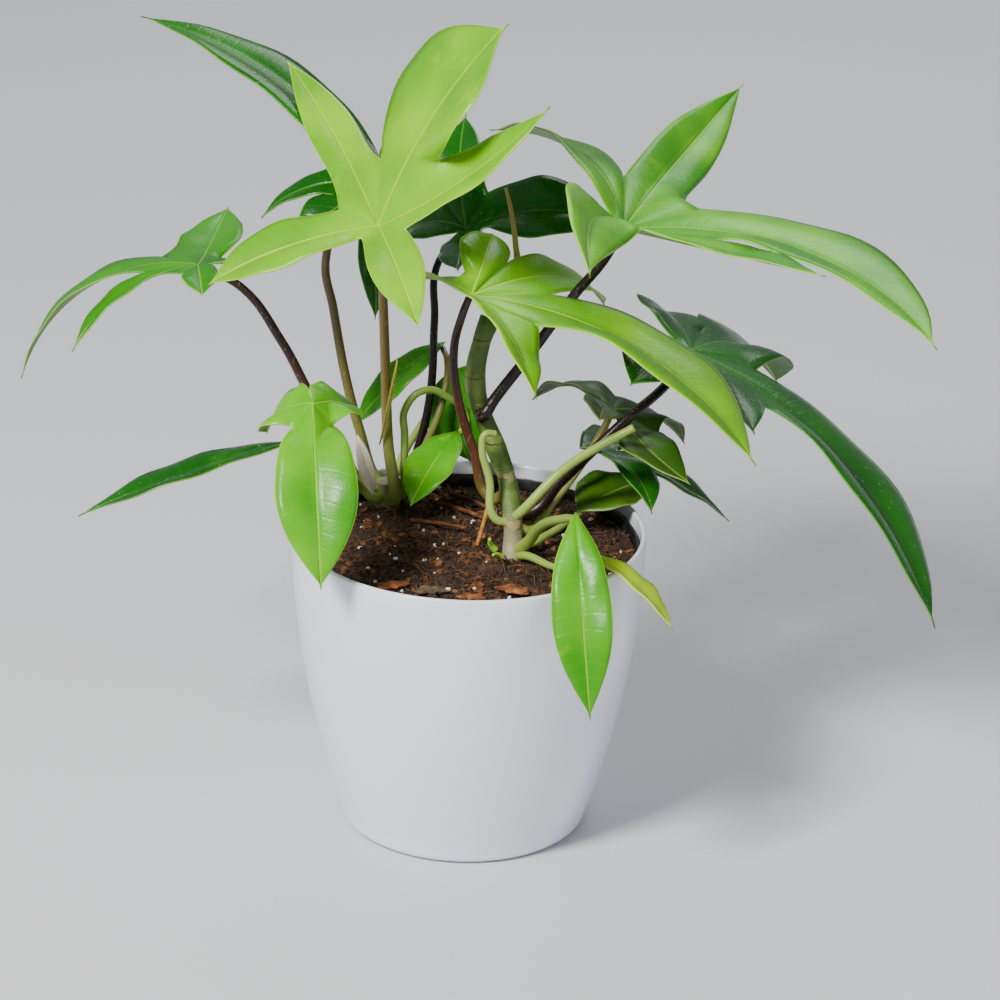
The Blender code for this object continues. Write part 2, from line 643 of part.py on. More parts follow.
def add_chip(name, place, turn, length, width, thickness, parent, finish):
    """A flake of bark: a wedge-sided slab lying just above the soil."""
    x, y = place
    mesh = bpy.data.meshes.new(name)
    points = []
    for level, inset in ((-0.5, 0.92), (0.5, 0.7)):
        corner_places = ((-1, 0.8), (-0.3, 1), (0.6, 0.9), (1, 0.3), (0.8, -0.8), (-0.2, -1), (-0.9, -0.6))
        for across, out in corner_places:
            corner = Vector((across * length / 2 * inset, out * width / 2 * inset, level * thickness))
            points.append(corner * MM)
    corners = len(points) // 2
    sides = []
    for corner in range(corners):
        follow = (corner + 1) % corners
        sides.append((corner, corner + corners, follow + corners, follow))
    caps = [tuple(range(corners)), tuple(reversed(range(corners, 2 * corners)))]
    mesh.from_pydata(points, [], caps + sides)
    obj = add_object(name, mesh, parent, finish)
    lowest = soil_height(math.hypot(x, y) - length / 2) + 2 * GAP + thickness / 2
    obj.location = Vector((x, y, lowest)) * MM
    obj.rotation_euler = (0, 0, math.radians(turn))
    return obj


def main():
    clear_scene()
    plant = bpy.data.objects.new("potted_philodendron", None)
    bpy.context.scene.collection.objects.link(plant)

    planter_finish = material("planter_gloss", (0.80, 0.82, 0.86), 0.15)
    nursery_finish = material("nursery_plastic", (0.01, 0.01, 0.012), 0.45)
    soil_finish = material("soil", (0.045, 0.022, 0.012), 0.95)
    stem_finish = material("stem", (0.20, 0.24, 0.08), 0.5)
    root_finish = material("root", (0.30, 0.18, 0.08), 0.8)
    chip_finish = material("bark", CHIP_COLOUR, 0.9)
    stalk_finishes = {
        False: material("petiole_green", GREEN_PETIOLE, 0.4),
        True: material("petiole_dark", DARK_PETIOLE, 0.35),
    }

    turned("planter", planter_profile(), plant, planter_finish)
    nursery = turned("nursery_pot", nursery_profile(), plant, nursery_finish)
    cut_drains(nursery, plant, nursery_finish)
    soil = turned("soil", soil_profile(), plant, soil_finish)
    add_stems(soil, plant, stem_finish)
    add_roots(soil, plant, root_finish)

    blades = {}
    for spec in LEAVES + SHEATHS:
        finish = material(spec.name + "_colour", spec.colour, 0.25)
        blades[spec.name] = add_blade(spec, plant, finish)
    add_petioles(blades, plant, stalk_finishes)

    for name, colour, start, end, route in LOOSE_TUBES:
        tube(name, route, start, end, plant, material(name + "_colour", colour, 0.5))
    for chip in CHIPS:
        add_chip(*chip, plant, chip_finish)


main()
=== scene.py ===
"""A potted philodendron with glossy lobed leaves, its soil, nursery pot and planter.

Sizes in the tables are in millimetres and angles in degrees. The plant stands on the origin,
faces -Y and takes its pots' places from the frame.
"""

import json
import math
from collections import namedtuple

import bmesh
import bpy
from mathutils import Euler, Matrix, Vector, noise

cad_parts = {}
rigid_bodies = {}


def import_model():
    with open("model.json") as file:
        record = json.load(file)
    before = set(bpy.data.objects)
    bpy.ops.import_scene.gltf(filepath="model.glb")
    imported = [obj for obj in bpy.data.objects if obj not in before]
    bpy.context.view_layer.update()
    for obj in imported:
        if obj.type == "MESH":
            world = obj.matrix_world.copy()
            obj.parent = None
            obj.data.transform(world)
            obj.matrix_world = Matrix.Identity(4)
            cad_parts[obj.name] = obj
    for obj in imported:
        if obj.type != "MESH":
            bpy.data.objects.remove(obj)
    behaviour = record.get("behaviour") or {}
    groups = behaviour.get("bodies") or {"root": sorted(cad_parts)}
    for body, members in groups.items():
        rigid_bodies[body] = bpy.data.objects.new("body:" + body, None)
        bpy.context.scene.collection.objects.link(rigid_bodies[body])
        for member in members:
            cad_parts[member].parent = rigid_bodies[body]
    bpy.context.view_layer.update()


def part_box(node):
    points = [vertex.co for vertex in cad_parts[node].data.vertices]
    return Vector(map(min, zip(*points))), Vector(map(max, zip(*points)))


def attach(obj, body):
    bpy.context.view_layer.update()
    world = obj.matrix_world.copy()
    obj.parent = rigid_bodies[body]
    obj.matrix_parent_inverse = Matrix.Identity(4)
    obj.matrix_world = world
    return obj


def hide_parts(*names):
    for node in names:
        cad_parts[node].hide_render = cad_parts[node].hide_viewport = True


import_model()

bl_info = {
    "name": "Potted Philodendron",
    "version": (1, 0, 0),
    "blender": (4, 5, 0),
    "location": "3D View > Sidebar > Philodendron",
    "description": "Builds a potted philodendron around its packed solids",
    "category": "Add Mesh",
}

MM = 0.001
BODY = "root"

Lobe = namedtuple("Lobe", "bearing length half_width lift droop sweep bank widest web")
Leaf = namedtuple("Leaf", "name colour junction heading pitch roll cup lobes")


def lobe(bearing, length, half_width, lift=10, droop=30, sweep=0, bank=0, widest=0.5, web=3):
    """One lobe of a leaf. Its midrib leaves the junction at this bearing, to the left of forward,
    rises by lift, then turns down by droop and sideways by sweep along its length."""
    return Lobe(bearing, length, half_width, lift, droop, sweep, bank, widest, web)


def leaf(name, colour, junction, heading, pitch, roll, lobes, cup=10):
    """One leaf. Its junction is where the petiole meets the blade; lobes run from left to right."""
    return Leaf(name, colour, junction, heading, pitch, roll, cup, lobes)


LIME, BRIGHT, MID, DARK, OLIVE, YELLOW, CREAM, STRAW = (
    "lime", "bright", "mid", "dark", "olive", "yellow", "cream", "straw")
LEFT_STEM = Vector((-31, 40, 0))
LEFT_STEM_RADIUS = 4.5
STALK_GAP = 0.3

LEAVES = [
    leaf("leaf_crown", LIME, (-35, 12, 227), heading=32, pitch=24, roll=0, lobes=[
        lobe(152, 66, 13, lift=15, droop=26, sweep=6, bank=-8, widest=0.57, web=17),
        lobe(69, 95, 9, lift=18, droop=0, sweep=11, widest=0.5, web=25),
        lobe(-13, 89, 30, lift=49, droop=25, sweep=-6, widest=0.67, web=36),
        lobe(-53, 86, 11, lift=17, droop=-14, sweep=21, bank=9, web=18),
        lobe(-108, 61, 10, lift=8, droop=37, sweep=-6, bank=-5, web=8),
    ]),
    leaf("leaf_back_left", DARK, (-37, 42, 232), heading=134, pitch=20, roll=-5, lobes=[
        lobe(146, 50, 7, lift=-40, droop=30, sweep=20, web=8),
        lobe(84, 38, 10, lift=-16, droop=20, web=16),
        lobe(44, 49, 6, lift=0, droop=68, web=18),
        lobe(-11, 131, 14, lift=7, droop=21, sweep=30, bank=9, web=17),
        lobe(-78, 48, 13, lift=8, droop=37, sweep=7, web=5),
    ]),
    leaf("leaf_back_centre", DARK, (-4, 72, 205), heading=-11, pitch=31, roll=22, lobes=[
        lobe(140, 40, 10, lift=22, droop=60, sweep=17, web=16),
        lobe(78, 50, 11, lift=37, droop=36, web=16),
        lobe(-4, 59, 15, lift=4, droop=55, sweep=-6, bank=8, web=16),
        lobe(-76, 46, 10, lift=23, droop=10, sweep=-13, web=3),
    ]),
    leaf("leaf_front_centre", LIME, (-1, 5, 204), heading=-11, pitch=-19, roll=-8, lobes=[
        lobe(135, 44, 10, lift=0, droop=40, sweep=-5, web=14),
        lobe(96, 40, 11, lift=45, droop=45, web=24),
        lobe(51, 88, 12, lift=28, droop=61, sweep=15, bank=7, web=30),
        lobe(0, 126, 24, lift=18, droop=44, sweep=-28, widest=0.59, web=32),
        lobe(-57, 66, 12, lift=8, droop=36, sweep=7, bank=-16, web=6),
    ]),
    leaf("leaf_right_upper", BRIGHT, (53, 15, 227), heading=-7, pitch=-26, roll=-10, lobes=[
        lobe(113, 102, 16, lift=24, droop=54, sweep=25, web=40),
        lobe(83, 140, 12, lift=13, droop=-15, sweep=-6, bank=10, web=31),
        lobe(-15, 148, 25, lift=35, droop=46, sweep=-44, bank=14, widest=0.42, web=41),
        lobe(-54, 112, 13, lift=18, droop=0, bank=16, web=33),
        lobe(-121, 98, 15, lift=16, droop=36, sweep=52, bank=-17, widest=0.45, web=3),
    ]),
    leaf("leaf_far_left", MID, (-101, 30, 204), heading=173, pitch=-8, roll=12, lobes=[
        lobe(104, 24, 7, lift=-10, droop=23, web=10),
        lobe(36, 60, 10, lift=2, droop=54, bank=5, web=20),
        lobe(3, 86, 13, lift=13, droop=82, bank=-5, web=22),
        lobe(-85, 68, 12, lift=2, droop=-18, sweep=-8, web=20),
        lobe(-121, 40, 12, lift=-5, droop=10, sweep=10, web=4),
    ]),
    leaf("leaf_right_lower", DARK, (80, 40, 171), heading=-11, pitch=-20, roll=-13, lobes=[
        lobe(110, 61, 17, lift=15, droop=34, web=27),
        lobe(72, 92, 20, lift=14, droop=44, sweep=-11, web=29),
        lobe(-7, 142, 21, lift=0, droop=42, sweep=-24, widest=0.56, web=40),
        lobe(-59, 66, 14, lift=2, droop=19, web=30),
        lobe(-107, 61, 16, lift=2, droop=24, sweep=6, web=5),
    ]),
    leaf("leaf_left_front", BRIGHT, (-57, -20, 171), heading=-82, pitch=-20, roll=4, lobes=[
        lobe(131, 32, 11, lift=-25, droop=33, bank=5, web=11),
        lobe(-3, 72, 15, lift=-6, droop=50, widest=0.52, web=11),
        lobe(-121, 31, 12, lift=-21, droop=57, sweep=-5, web=3),
    ]),
    leaf("leaf_left_low", DARK, (-69, 20, 138), heading=192, pitch=-14, roll=5, lobes=[
        lobe(3, 80, 11, lift=3, droop=12, sweep=-5, web=4),
    ]),
    leaf("leaf_back_low", MID, (-13, 66, 160), heading=190, pitch=-42, roll=-21, lobes=[
        lobe(0, 45, 8, lift=11, droop=27, web=3),
    ]),
    leaf("leaf_back_broad", MID, (2, 58, 155), heading=-136, pitch=-49, roll=0, lobes=[
        lobe(-7, 42, 15, lift=0, droop=80, sweep=7, bank=-14, web=3),
    ]),
    leaf("leaf_back_small", BRIGHT, (-6, 43, 134), heading=-122, pitch=-29, roll=0, lobes=[
        lobe(0, 36, 10, lift=13, droop=32, widest=0.53, web=2),
    ]),
    leaf("leaf_mid_right", OLIVE, (52, 35, 149), heading=-16, pitch=-14, roll=-6, lobes=[
        lobe(146, 45, 10, lift=16, droop=74, sweep=5, web=15),
        lobe(57, 47, 9, lift=4, droop=47, sweep=-5, bank=-9, web=19),
        lobe(-50, 58, 11, lift=-7, droop=-9, sweep=11, bank=11, widest=0.44, web=15),
        lobe(-98, 32, 9, lift=20, droop=22, sweep=19, bank=-6, web=3),
    ]),
    leaf("leaf_mid_narrow", DARK, (43, 48, 127), heading=3, pitch=-18, roll=-8, lobes=[
        lobe(59, 46, 10, lift=12, droop=22, sweep=-4, web=14),
        lobe(0, 62, 12, lift=6, droop=31, bank=5, web=15),
        lobe(-56, 52, 10, lift=21, droop=56, sweep=-14, web=3),
    ]),
    leaf("leaf_soil_right", OLIVE, (41, 17, 116), heading=39, pitch=6, roll=8, lobes=[
        lobe(5, 35, 13, lift=8, droop=20, sweep=-5, widest=0.44, web=2),
    ]),
    leaf("leaf_front_hanging", BRIGHT, (38, -46, 138), heading=-88, pitch=-52, roll=4, lobes=[
        lobe(4, 72, 11, lift=11, droop=40, bank=4, web=4),
    ]),
    leaf("leaf_yellow", YELLOW, (45, -36, 121), heading=-39, pitch=-18, roll=-12, lobes=[
        lobe(3, 41, 8, lift=9, droop=37, sweep=4, bank=-8, web=2),
    ]),
]

SHEATHS = [
    leaf("cream_sheath", CREAM, (-42, 27, 139), heading=10, pitch=-76, roll=90, cup=35, lobes=[
        lobe(0, 25, 3.6, lift=0, droop=0, widest=0.6, web=1),
    ]),
    leaf("yellow_sheath", STRAW, (-28, 21, 172), heading=120, pitch=-72, roll=150,
         cup=25, lobes=[
        lobe(0, 40, 1.6, lift=0, droop=0, widest=0.5, web=1),
    ]),
]


def beside_left_stem(angle, height, radius):
    """The point where a petiole of this radius leaves the left stem's side."""
    reach = LEFT_STEM_RADIUS + STALK_GAP + radius
    turn = math.radians(angle)
    return (LEFT_STEM.x + reach * math.cos(turn), LEFT_STEM.y + reach * math.sin(turn), height)


# Petioles: the leaf that each one carries, its radius at the stem and at the blade, and its route.
PETIOLES = [
    ("petiole_crown", "leaf_crown", 2.2, 1.5, [
        beside_left_stem(290, 111, 2.2), (-31, 34, 134), (-32, 30, 160), (-33, 20, 193), (-34, 14, 216)]),
    ("petiole_back_left", "leaf_back_left", 2.0, 1.4, [
        beside_left_stem(120, 112, 2.0), (-42, 44, 135), (-47, 43, 155), (-52, 43, 183),
        (-55, 43, 202), (-50, 43, 217)]),
    ("petiole_far_left", "leaf_far_left", 2.1, 1.4, [
        beside_left_stem(190, 113, 2.1), (-49, 40, 130), (-59, 39, 148), (-71, 36, 173), (-86, 33, 195)]),
    ("petiole_left_front", "leaf_left_front", 1.8, 1.3, [
        beside_left_stem(228, 111, 1.8), (-41, 32.5, 117), (-46, 27, 124), (-53, 12, 143), (-57, -8, 163)]),
    ("petiole_left_low", "leaf_left_low", 1.7, 1.2, [
        beside_left_stem(155, 110, 1.7), (-43, 40, 113), (-54, 33, 124), (-64, 24, 134)]),
    ("petiole_back_small", "leaf_back_small", 1.6, 1.2, [
        beside_left_stem(330, 112, 1.6), (-25, 37, 122), (-25, 39, 135), (-25, 40, 145),
        (-18, 42, 152), (-9, 45, 148), (-2, 48.5, 138)]),
    ("petiole_back_low", "leaf_back_low", 1.6, 1.1, [
        beside_left_stem(10, 110, 1.6), (-18, 43.5, 127), (-11, 50, 146), (-10, 60, 157)]),
    ("petiole_back_broad", "leaf_back_broad", 1.6, 1.1, [
        beside_left_stem(80, 112, 1.6), (-24, 58, 123), (-10, 69, 140), (1, 67, 152)]),
    ("petiole_back_centre", "leaf_back_centre", 1.8, 1.3, [
        beside_left_stem(45, 110, 1.8), (-20, 50, 126), (-16, 56, 145), (-15, 62, 172), (-14, 68, 193)]),
    ("petiole_front_centre", "leaf_front_centre", 1.9, 1.4, [
        (8.5, 14, 121), (1, 16, 139), (-5, 13, 160), (-7, 9, 181), (-4, 5, 197)]),
    ("petiole_right_upper", "leaf_right_upper", 2.2, 1.6, [
        (4, 15.5, 153), (8, 17, 159), (21, 19, 177), (36, 18, 200), (47, 15, 216)]),
    ("petiole_right_lower", "leaf_right_lower", 2.2, 1.6, [
        (21.5, 8, 118), (33, 10, 130), (53, 9.5, 152), (74, 30, 165)]),
    ("petiole_mid_right", "leaf_mid_right", 1.8, 1.3, [
        (22, 3.5, 113), (30, 15, 119), (42, 25, 133), (50, 33, 145)]),
    ("petiole_mid_narrow", "leaf_mid_narrow", 1.6, 1.2, [
        (21, 16, 113.5), (28, 24, 115), (38, 40, 122)]),
    ("petiole_soil_right", "leaf_soil_right", 1.5, 1.1, [
        (22, -5, 111.5), (29, 2, 112.5), (36, 11, 113.5)]),
    ("petiole_front_hanging", "leaf_front_hanging", 2.0, 1.3, [
        (20.5, -11.5, 114), (26, -22, 126), (32, -33, 133.5), (37, -40, 137)]),
    ("petiole_yellow", "leaf_yellow", 1.4, 1.0, [
        (21.5, -14.5, 110.8), (32, -24, 110.8), (41, -33, 117)]),
]

DARK_STALKS = ("petiole_crown", "petiole_far_left", "petiole_right_lower", "petiole_front_centre")
STALK_LOOKS = {
    "petiole_crown": "brown", "petiole_far_left": "dark", "petiole_back_left": "brown",
    "petiole_front_centre": "dark", "petiole_right_lower": "black", "petiole_back_centre": "black",
    "petiole_right_upper": "black", "petiole_back_low": "brown", "petiole_mid_right": "brown"}

# Loose stalks, shoots and roots: name, finish, radius at each end, route.
LOOSE_TUBES = [
    ("cut_petiole", "stalk", 1.8, 1.5, [
        (19, 0.5, 122), (34, 4, 137.5), (46, 3, 147), (59, 3, 155)]),
    ("hooked_petiole", "stalk", 1.6, 1.1, [
        (9.3, 0.5, 119), (7, 5, 132), (4, 7, 145), (5, 8, 149), (9, 9, 149)]),
    ("new_leaf_spear", "spear", 2.2, 0.6, [
        (6.4, 25.4, 189.2), (7.5, 28, 192.5), (11, 36, 196.5), (15, 45, 201), (14.5, 49, 208),
        (12.5, 50, 221), (10.5, 51, 229)]),
    ("aerial_root", "aerial", 0.9, 0.7, [(7, 8.5, 121), (5, 3, 115), (3, -4, 109.8)]),
    ("surface_root_1", "root", 0.9, 0.7, [(-15, 38, 109.3), (-4, 29, 110.2), (5, 20, 110.6)]),
    ("surface_root_2", "root", 0.8, 0.6, [(-8, 46, 108.9), (3, 36, 109.6), (9, 25, 110.4)]),
    ("surface_root_3", "root", 0.8, 0.6, [(-22, 18, 109.9), (-10, 14, 110.5), (-1, 10, 110.7)]),
    ("side_shoot_1", "shoot", 1.4, 0.6, [(9.5, -9, 110.8), (8, -10, 113), (7.5, -12, 116)]),
    ("side_shoot_2", "shoot", 1.2, 0.5, [(12, -15, 110.4), (10.5, -16.5, 112), (9, -19, 113)]),
]


# Places taken from the frame
PLANTER_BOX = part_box("planter")
NURSERY_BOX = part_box("nursery_pot")
SOIL_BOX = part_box("soil")
RIM_RADIUS = (PLANTER_BOX[1][0] - PLANTER_BOX[0][0]) / 2 / MM
PLANTER_HEIGHT = PLANTER_BOX[1][2] / MM
COLLAR_RADIUS = (NURSERY_BOX[1][0] - NURSERY_BOX[0][0]) / 2 / MM
COLLAR_TOP = NURSERY_BOX[1][2] / MM
NURSERY_BOTTOM = NURSERY_BOX[0][2] / MM
SOIL_TOP = SOIL_BOX[1][2] / MM
SOIL_BOTTOM = SOIL_BOX[0][2] / MM

# The planter's section
PLANTER_TAPER = 20.5
TAPER_POWER = 1.9
PLANTER_FLOOR = 3
FOOT_ROUNDING = 4
POT_SIDES = 128

# The nursery pot's section
NURSERY_RADIUS = 42
NURSERY_SHOULDER_RADIUS = 61
SHOULDER_DROP = 6
NURSERY_WALL = 1
NURSERY_FLOOR = 1.5
DRAINS = 5
DRAIN_RADIUS = 4
DRAIN_CIRCLE = 26
DRAIN_DEPTH = 6
DRAIN_TURN = 9

# The soil's mound
SOIL_MOUND = 2.6
SOIL_CLEARANCE = 0.3
BROAD_LUMPS = 1.7
FINE_LUMPS = 0.8
SOIL_DROP = 0.6
SOIL_RINGS = 46
SOIL_SIDES = 120
STRAND_MARGIN = 9

# Blades
ROWS = 30
WEB_ROWS = 8
COLUMNS = 5
SHOULDER_SHARE = 0.55
SINUS_BLEND = 0.24
TAIL_START = 0.93
TAIL_WIDTH = 0.55
BULGE = 0.07
RIPPLE = 0.5

MAIN_STEM_ROUTE = [
    (16, -9, 97.5), (16, -8, 108), (16, 0, 115), (15, 9, 121.5), (13, 17, 129),
    (9, 20, 139), (4, 22, 151), (1, 22, 163), (3, 22, 180), (6, 25, 188)]
LEFT_STEM_ROUTE = [(-31, 40, 95.5), (-31, 40, 106), (-31, 40, 116)]

# The stage, in metres, with the lens and sensor in millimetres
FLOOR_SIZE = 9
FLOOR_CENTRE = (0, 2, 0)
LAMP_TARGET = (0.011, 0, 0.15)
CAMERA_TARGET = (0.011, 0, 0.1265)
CAMERA_LENS = 177.55
SENSOR_WIDTH = 36


class PlantSizes(bpy.types.PropertyGroup):
    """Sizes that a user would change."""

    wall: bpy.props.FloatProperty(
        name="Planter wall", description="Thickness of the planter's wall", default=2 * MM, unit="LENGTH")
    blade: bpy.props.FloatProperty(
        name="Blade thickness", description="Thickness of a leaf's blade", default=0.45 * MM, unit="LENGTH")
    stem: bpy.props.FloatProperty(
        name="Stem radius", description="Radius of the main stem", default=3.5 * MM, unit="LENGTH")
    crumbs: bpy.props.IntProperty(
        name="Soil crumbs", description="Crumbs of peat and bark on a square metre", default=260000, min=0)
    grains: bpy.props.IntProperty(
        name="Perlite grains", description="White grains on a square metre", default=7000, min=0)
    fibres: bpy.props.IntProperty(
        name="Fibres", description="Fibres on a square metre", default=42000, min=0)


class PlantLook(bpy.types.PropertyGroup):
    """Settings of the stage."""

    elevation: bpy.props.FloatProperty(
        name="Elevation", description="Camera's height angle", default=math.radians(23.2), subtype="ANGLE")
    distance: bpy.props.FloatProperty(
        name="Distance", description="Camera's distance from its target", default=1.8, unit="LENGTH")
    roll: bpy.props.FloatProperty(
        name="Roll", description="Camera's turn about its own axis",
        default=math.radians(1.35), subtype="ANGLE")


# Materials


def linear(code):
    """An sRGB hex colour as linear light."""
    values = [int(code[i:i + 2], 16) / 255 for i in (1, 3, 5)]
    return (*[v / 12.92 if v <= 0.04045 else ((v + 0.055) / 1.055) ** 2.4 for v in values], 1.0)


def add(tree, kind, links=None, **settings):
    """Adds a node, sets its properties, and links or sets its inputs by name or number."""
    made = tree.nodes.new(kind)
    for key, value in settings.items():
        setattr(made, key, value)
    for key, value in (links or {}).items():
        if isinstance(value, bpy.types.NodeSocket):
            tree.links.new(value, made.inputs[key])
        else:
            made.inputs[key].default_value = value
    return made


def new_material(name):
    """An empty material with its Principled shader and its tree."""
    made = bpy.data.materials.new(name)
    made.use_nodes = True
    return made, made.node_tree, made.node_tree.nodes["Principled BSDF"]


def mixed(tree, share, first, second):
    """A colour mixed from two by a share."""
    mix = add(tree, "ShaderNodeMix", data_type="RGBA")
    for key, value in ((0, share), (6, first), (7, second)):
        if isinstance(value, bpy.types.NodeSocket):
            tree.links.new(value, mix.inputs[key])
        else:
            mix.inputs[key].default_value = value
    return mix.outputs[2]


def ramp(tree, value, low, high, to_low=0.0, to_high=1.0):
    """A value carried smoothly from one range to another."""
    made = add(tree, "ShaderNodeMapRange", {"Value": value}, interpolation_type="SMOOTHSTEP")
    for key, number in (("From Min", low), ("From Max", high), ("To Min", to_low), ("To Max", to_high)):
        made.inputs[key].default_value = number
    return made.outputs[0]


def speckle(tree, scale, detail=3.0, roughness=0.55):
    """Noise on Object coordinates; scale is in features a metre."""
    place = add(tree, "ShaderNodeTexCoord").outputs["Object"]
    return add(tree, "ShaderNodeTexNoise", {
        "Vector": place, "Scale": scale, "Detail": detail, "Roughness": roughness})


def math_node(tree, operation, first, second=0.0):
    """The result of a sum on one or two values."""
    return add(tree, "ShaderNodeMath", {0: first, 1: second}, operation=operation).outputs[0]


def bump(tree, shader, height, distance, strength=1.0):
    """A bump of this height in metres on a shader."""
    made = add(tree, "ShaderNodeBump", {"Height": height, "Distance": distance, "Strength": strength})
    tree.links.new(made.outputs[0], shader.inputs["Normal"])


def leaf_material(name, base, light, vein, margin, patch, patchiness=0.25, gloss=0.3, veins=0.05, specks=0.0):
    """Living philodendron blade: a waxy cuticle that shines in soft highlights over even green, with
    a pale midrib, faint side veins a few millimetres apart and a thin pale margin."""
    made, tree, shader = new_material(name)
    blade = add(tree, "ShaderNodeAttribute", attribute_name="blade_place")
    parts = add(tree, "ShaderNodeSeparateXYZ", {0: blade.outputs["Vector"]})
    from_midrib, from_margin, out_along = parts.outputs
    broad = speckle(tree, 22, detail=2).outputs[0]
    colour = mixed(tree, ramp(tree, broad, 0.35, 0.7), linear(base), linear(light))
    blotch = speckle(tree, 55, detail=4, roughness=0.6).outputs[0]
    colour = mixed(tree, ramp(tree, blotch, 0.58, 0.72, 0, patchiness), colour, linear(patch))
    rise = math_node(tree, "MULTIPLY", from_midrib, 0.75)
    run = math_node(tree, "SUBTRACT", out_along, rise)
    turn = math_node(tree, "MODULO", math_node(tree, "ADD", run, 90.0), 5.5)
    off = math_node(tree, "ABSOLUTE", math_node(tree, "SUBTRACT", turn, 2.75))
    side_vein = ramp(tree, off, 0.05, 0.7, 1, 0)
    colour = mixed(tree, math_node(tree, "MULTIPLY", side_vein, veins), colour, linear(vein))
    groove = ramp(tree, from_midrib, 0.25, 0.75, 1, 0)
    fading = ramp(tree, out_along, 20.0, 110.0, 0.75, 0.3)
    colour = mixed(tree, math_node(tree, "MULTIPLY", groove, fading), colour, linear(vein))
    colour = mixed(tree, ramp(tree, from_margin, 0.12, 0.6, 0.8, 0), colour, linear(margin))
    if specks:
        dots = add(tree, "ShaderNodeTexVoronoi", {"Scale": 260.0}, feature="F1")
        place = add(tree, "ShaderNodeTexCoord").outputs["Object"]
        tree.links.new(place, dots.inputs["Vector"])
        dot = ramp(tree, dots.outputs["Distance"], 0.06, 0.14, specks, 0)
        colour = mixed(tree, dot, colour, linear("#DDE8C8"))
    tree.links.new(colour, shader.inputs["Base Color"])
    grain = speckle(tree, 900, detail=2).outputs[0]
    shine = ramp(tree, grain, 0.3, 0.7, gloss - 0.04, gloss + 0.07)
    tree.links.new(shine, shader.inputs["Roughness"])
    shader.inputs["IOR"].default_value = 1.45
    shader.inputs["Specular IOR Level"].default_value = 0.36
    sunk = math_node(tree, "MULTIPLY", groove, -1.0)
    height = math_node(tree, "ADD", math_node(tree, "MULTIPLY", side_vein, -0.12), sunk)
    height = math_node(tree, "ADD", height, math_node(tree, "MULTIPLY", grain, 0.25))
    bump(tree, shader, height, 0.35 * MM, 0.8)
    return made


def underside_material(name, base, light):
    """The blade's lower side: paler and more matt than the upper, with the midrib standing proud."""
    made, tree, shader = new_material(name)
    blade = add(tree, "ShaderNodeAttribute", attribute_name="blade_place")
    parts = add(tree, "ShaderNodeSeparateXYZ", {0: blade.outputs["Vector"]})
    broad = speckle(tree, 30).outputs[0]
    colour = mixed(tree, ramp(tree, broad, 0.3, 0.7), linear(base), linear(light))
    ridge = ramp(tree, parts.outputs[0], 0.4, 1.0, 1, 0)
    colour = mixed(tree, math_node(tree, "MULTIPLY", ridge, 0.7), colour, linear("#A9B868"))
    tree.links.new(colour, shader.inputs["Base Color"])
    shader.inputs["Roughness"].default_value = 0.42
    shader.inputs["IOR"].default_value = 1.45
    bump(tree, shader, math_node(tree, "ADD", ridge, math_node(tree, "MULTIPLY", broad, 0.3)), 0.4 * MM)
    return made


# Upper side, lighter areas, veins, margin, patches; then the lower side's two greens.
LEAF_LOOKS = {
    "lime": (("#5CA400", "#84C600", "#B0D828", "#B8DE3C", "#A0D000"), dict(patchiness=0.35),
             ("#6F9C1A", "#86B424")),
    "bright": (("#359000", "#6CBC00", "#94CC30", "#A0D048", "#7CC400"), dict(patchiness=0.45),
               ("#52861A", "#6A9C26")),
    "mid": (("#1E7000", "#3A9004", "#70B02C", "#84BC40", "#54A40C"), dict(patchiness=0.35),
            ("#4A7618", "#5E8A24")),
    "dark": (("#0C5004", "#1C6C0A", "#4C8C20", "#6CA038", "#34800E"),
             dict(patchiness=0.35, gloss=0.24, specks=0.2), ("#34601A", "#477626")),
    "olive": (("#2C5210", "#466C1A", "#7E9C3E", "#8CA24A", "#56521C"),
              dict(patchiness=0.5, gloss=0.34), ("#465A1C", "#586A24")),
    "yellow": (("#A8CC00", "#CCE00C", "#DCE860", "#E6EE70", "#E0DC30"), dict(patchiness=0.4),
               ("#A4B41C", "#B8C430")),
    "cream": (("#D8CFB4", "#EEE8D4", "#F4F0E2", "#C9B78C", "#BCA878"),
              dict(patchiness=0.4, gloss=0.5, veins=0.3), ("#D0C6A8", "#E4DCC4")),
    "straw": (("#A8AE3C", "#C8C860", "#DEDC90", "#8A5A2E", "#8F9A34"),
              dict(patchiness=0.3, gloss=0.45, veins=0.3), ("#A8A848", "#BDB860")),
}


def petiole_material(name, foot, middle, top, low, high):
    """Petiole skin: smooth and waxy, darkening towards the blade, with fine pale flecks."""
    made, tree, shader = new_material(name)
    place = add(tree, "ShaderNodeTexCoord").outputs["Object"]
    height = add(tree, "ShaderNodeSeparateXYZ", {0: place}).outputs[2]
    wobble = math_node(tree, "MULTIPLY", speckle(tree, 90).outputs[0], 0.02)
    level = math_node(tree, "ADD", height, wobble)
    colour = mixed(tree, ramp(tree, level, low, (low + high) / 2), linear(foot), linear(middle))
    colour = mixed(tree, ramp(tree, level, (low + high) / 2, high), colour, linear(top))
    stretch = add(tree, "ShaderNodeMapping", {"Vector": place, "Scale": (1.0, 1.0, 0.3)})
    fleck = add(tree, "ShaderNodeTexNoise", {"Vector": stretch.outputs[0], "Scale": 1400.0, "Detail": 2.0})
    colour = mixed(tree, ramp(tree, fleck.outputs[0], 0.62, 0.72, 0, 0.4), colour, linear("#9C9A62"))
    tree.links.new(colour, shader.inputs["Base Color"])
    shader.inputs["Roughness"].default_value = 0.33
    shader.inputs["IOR"].default_value = 1.45
    bump(tree, shader, fleck.outputs[0], 0.12 * MM)
    return made


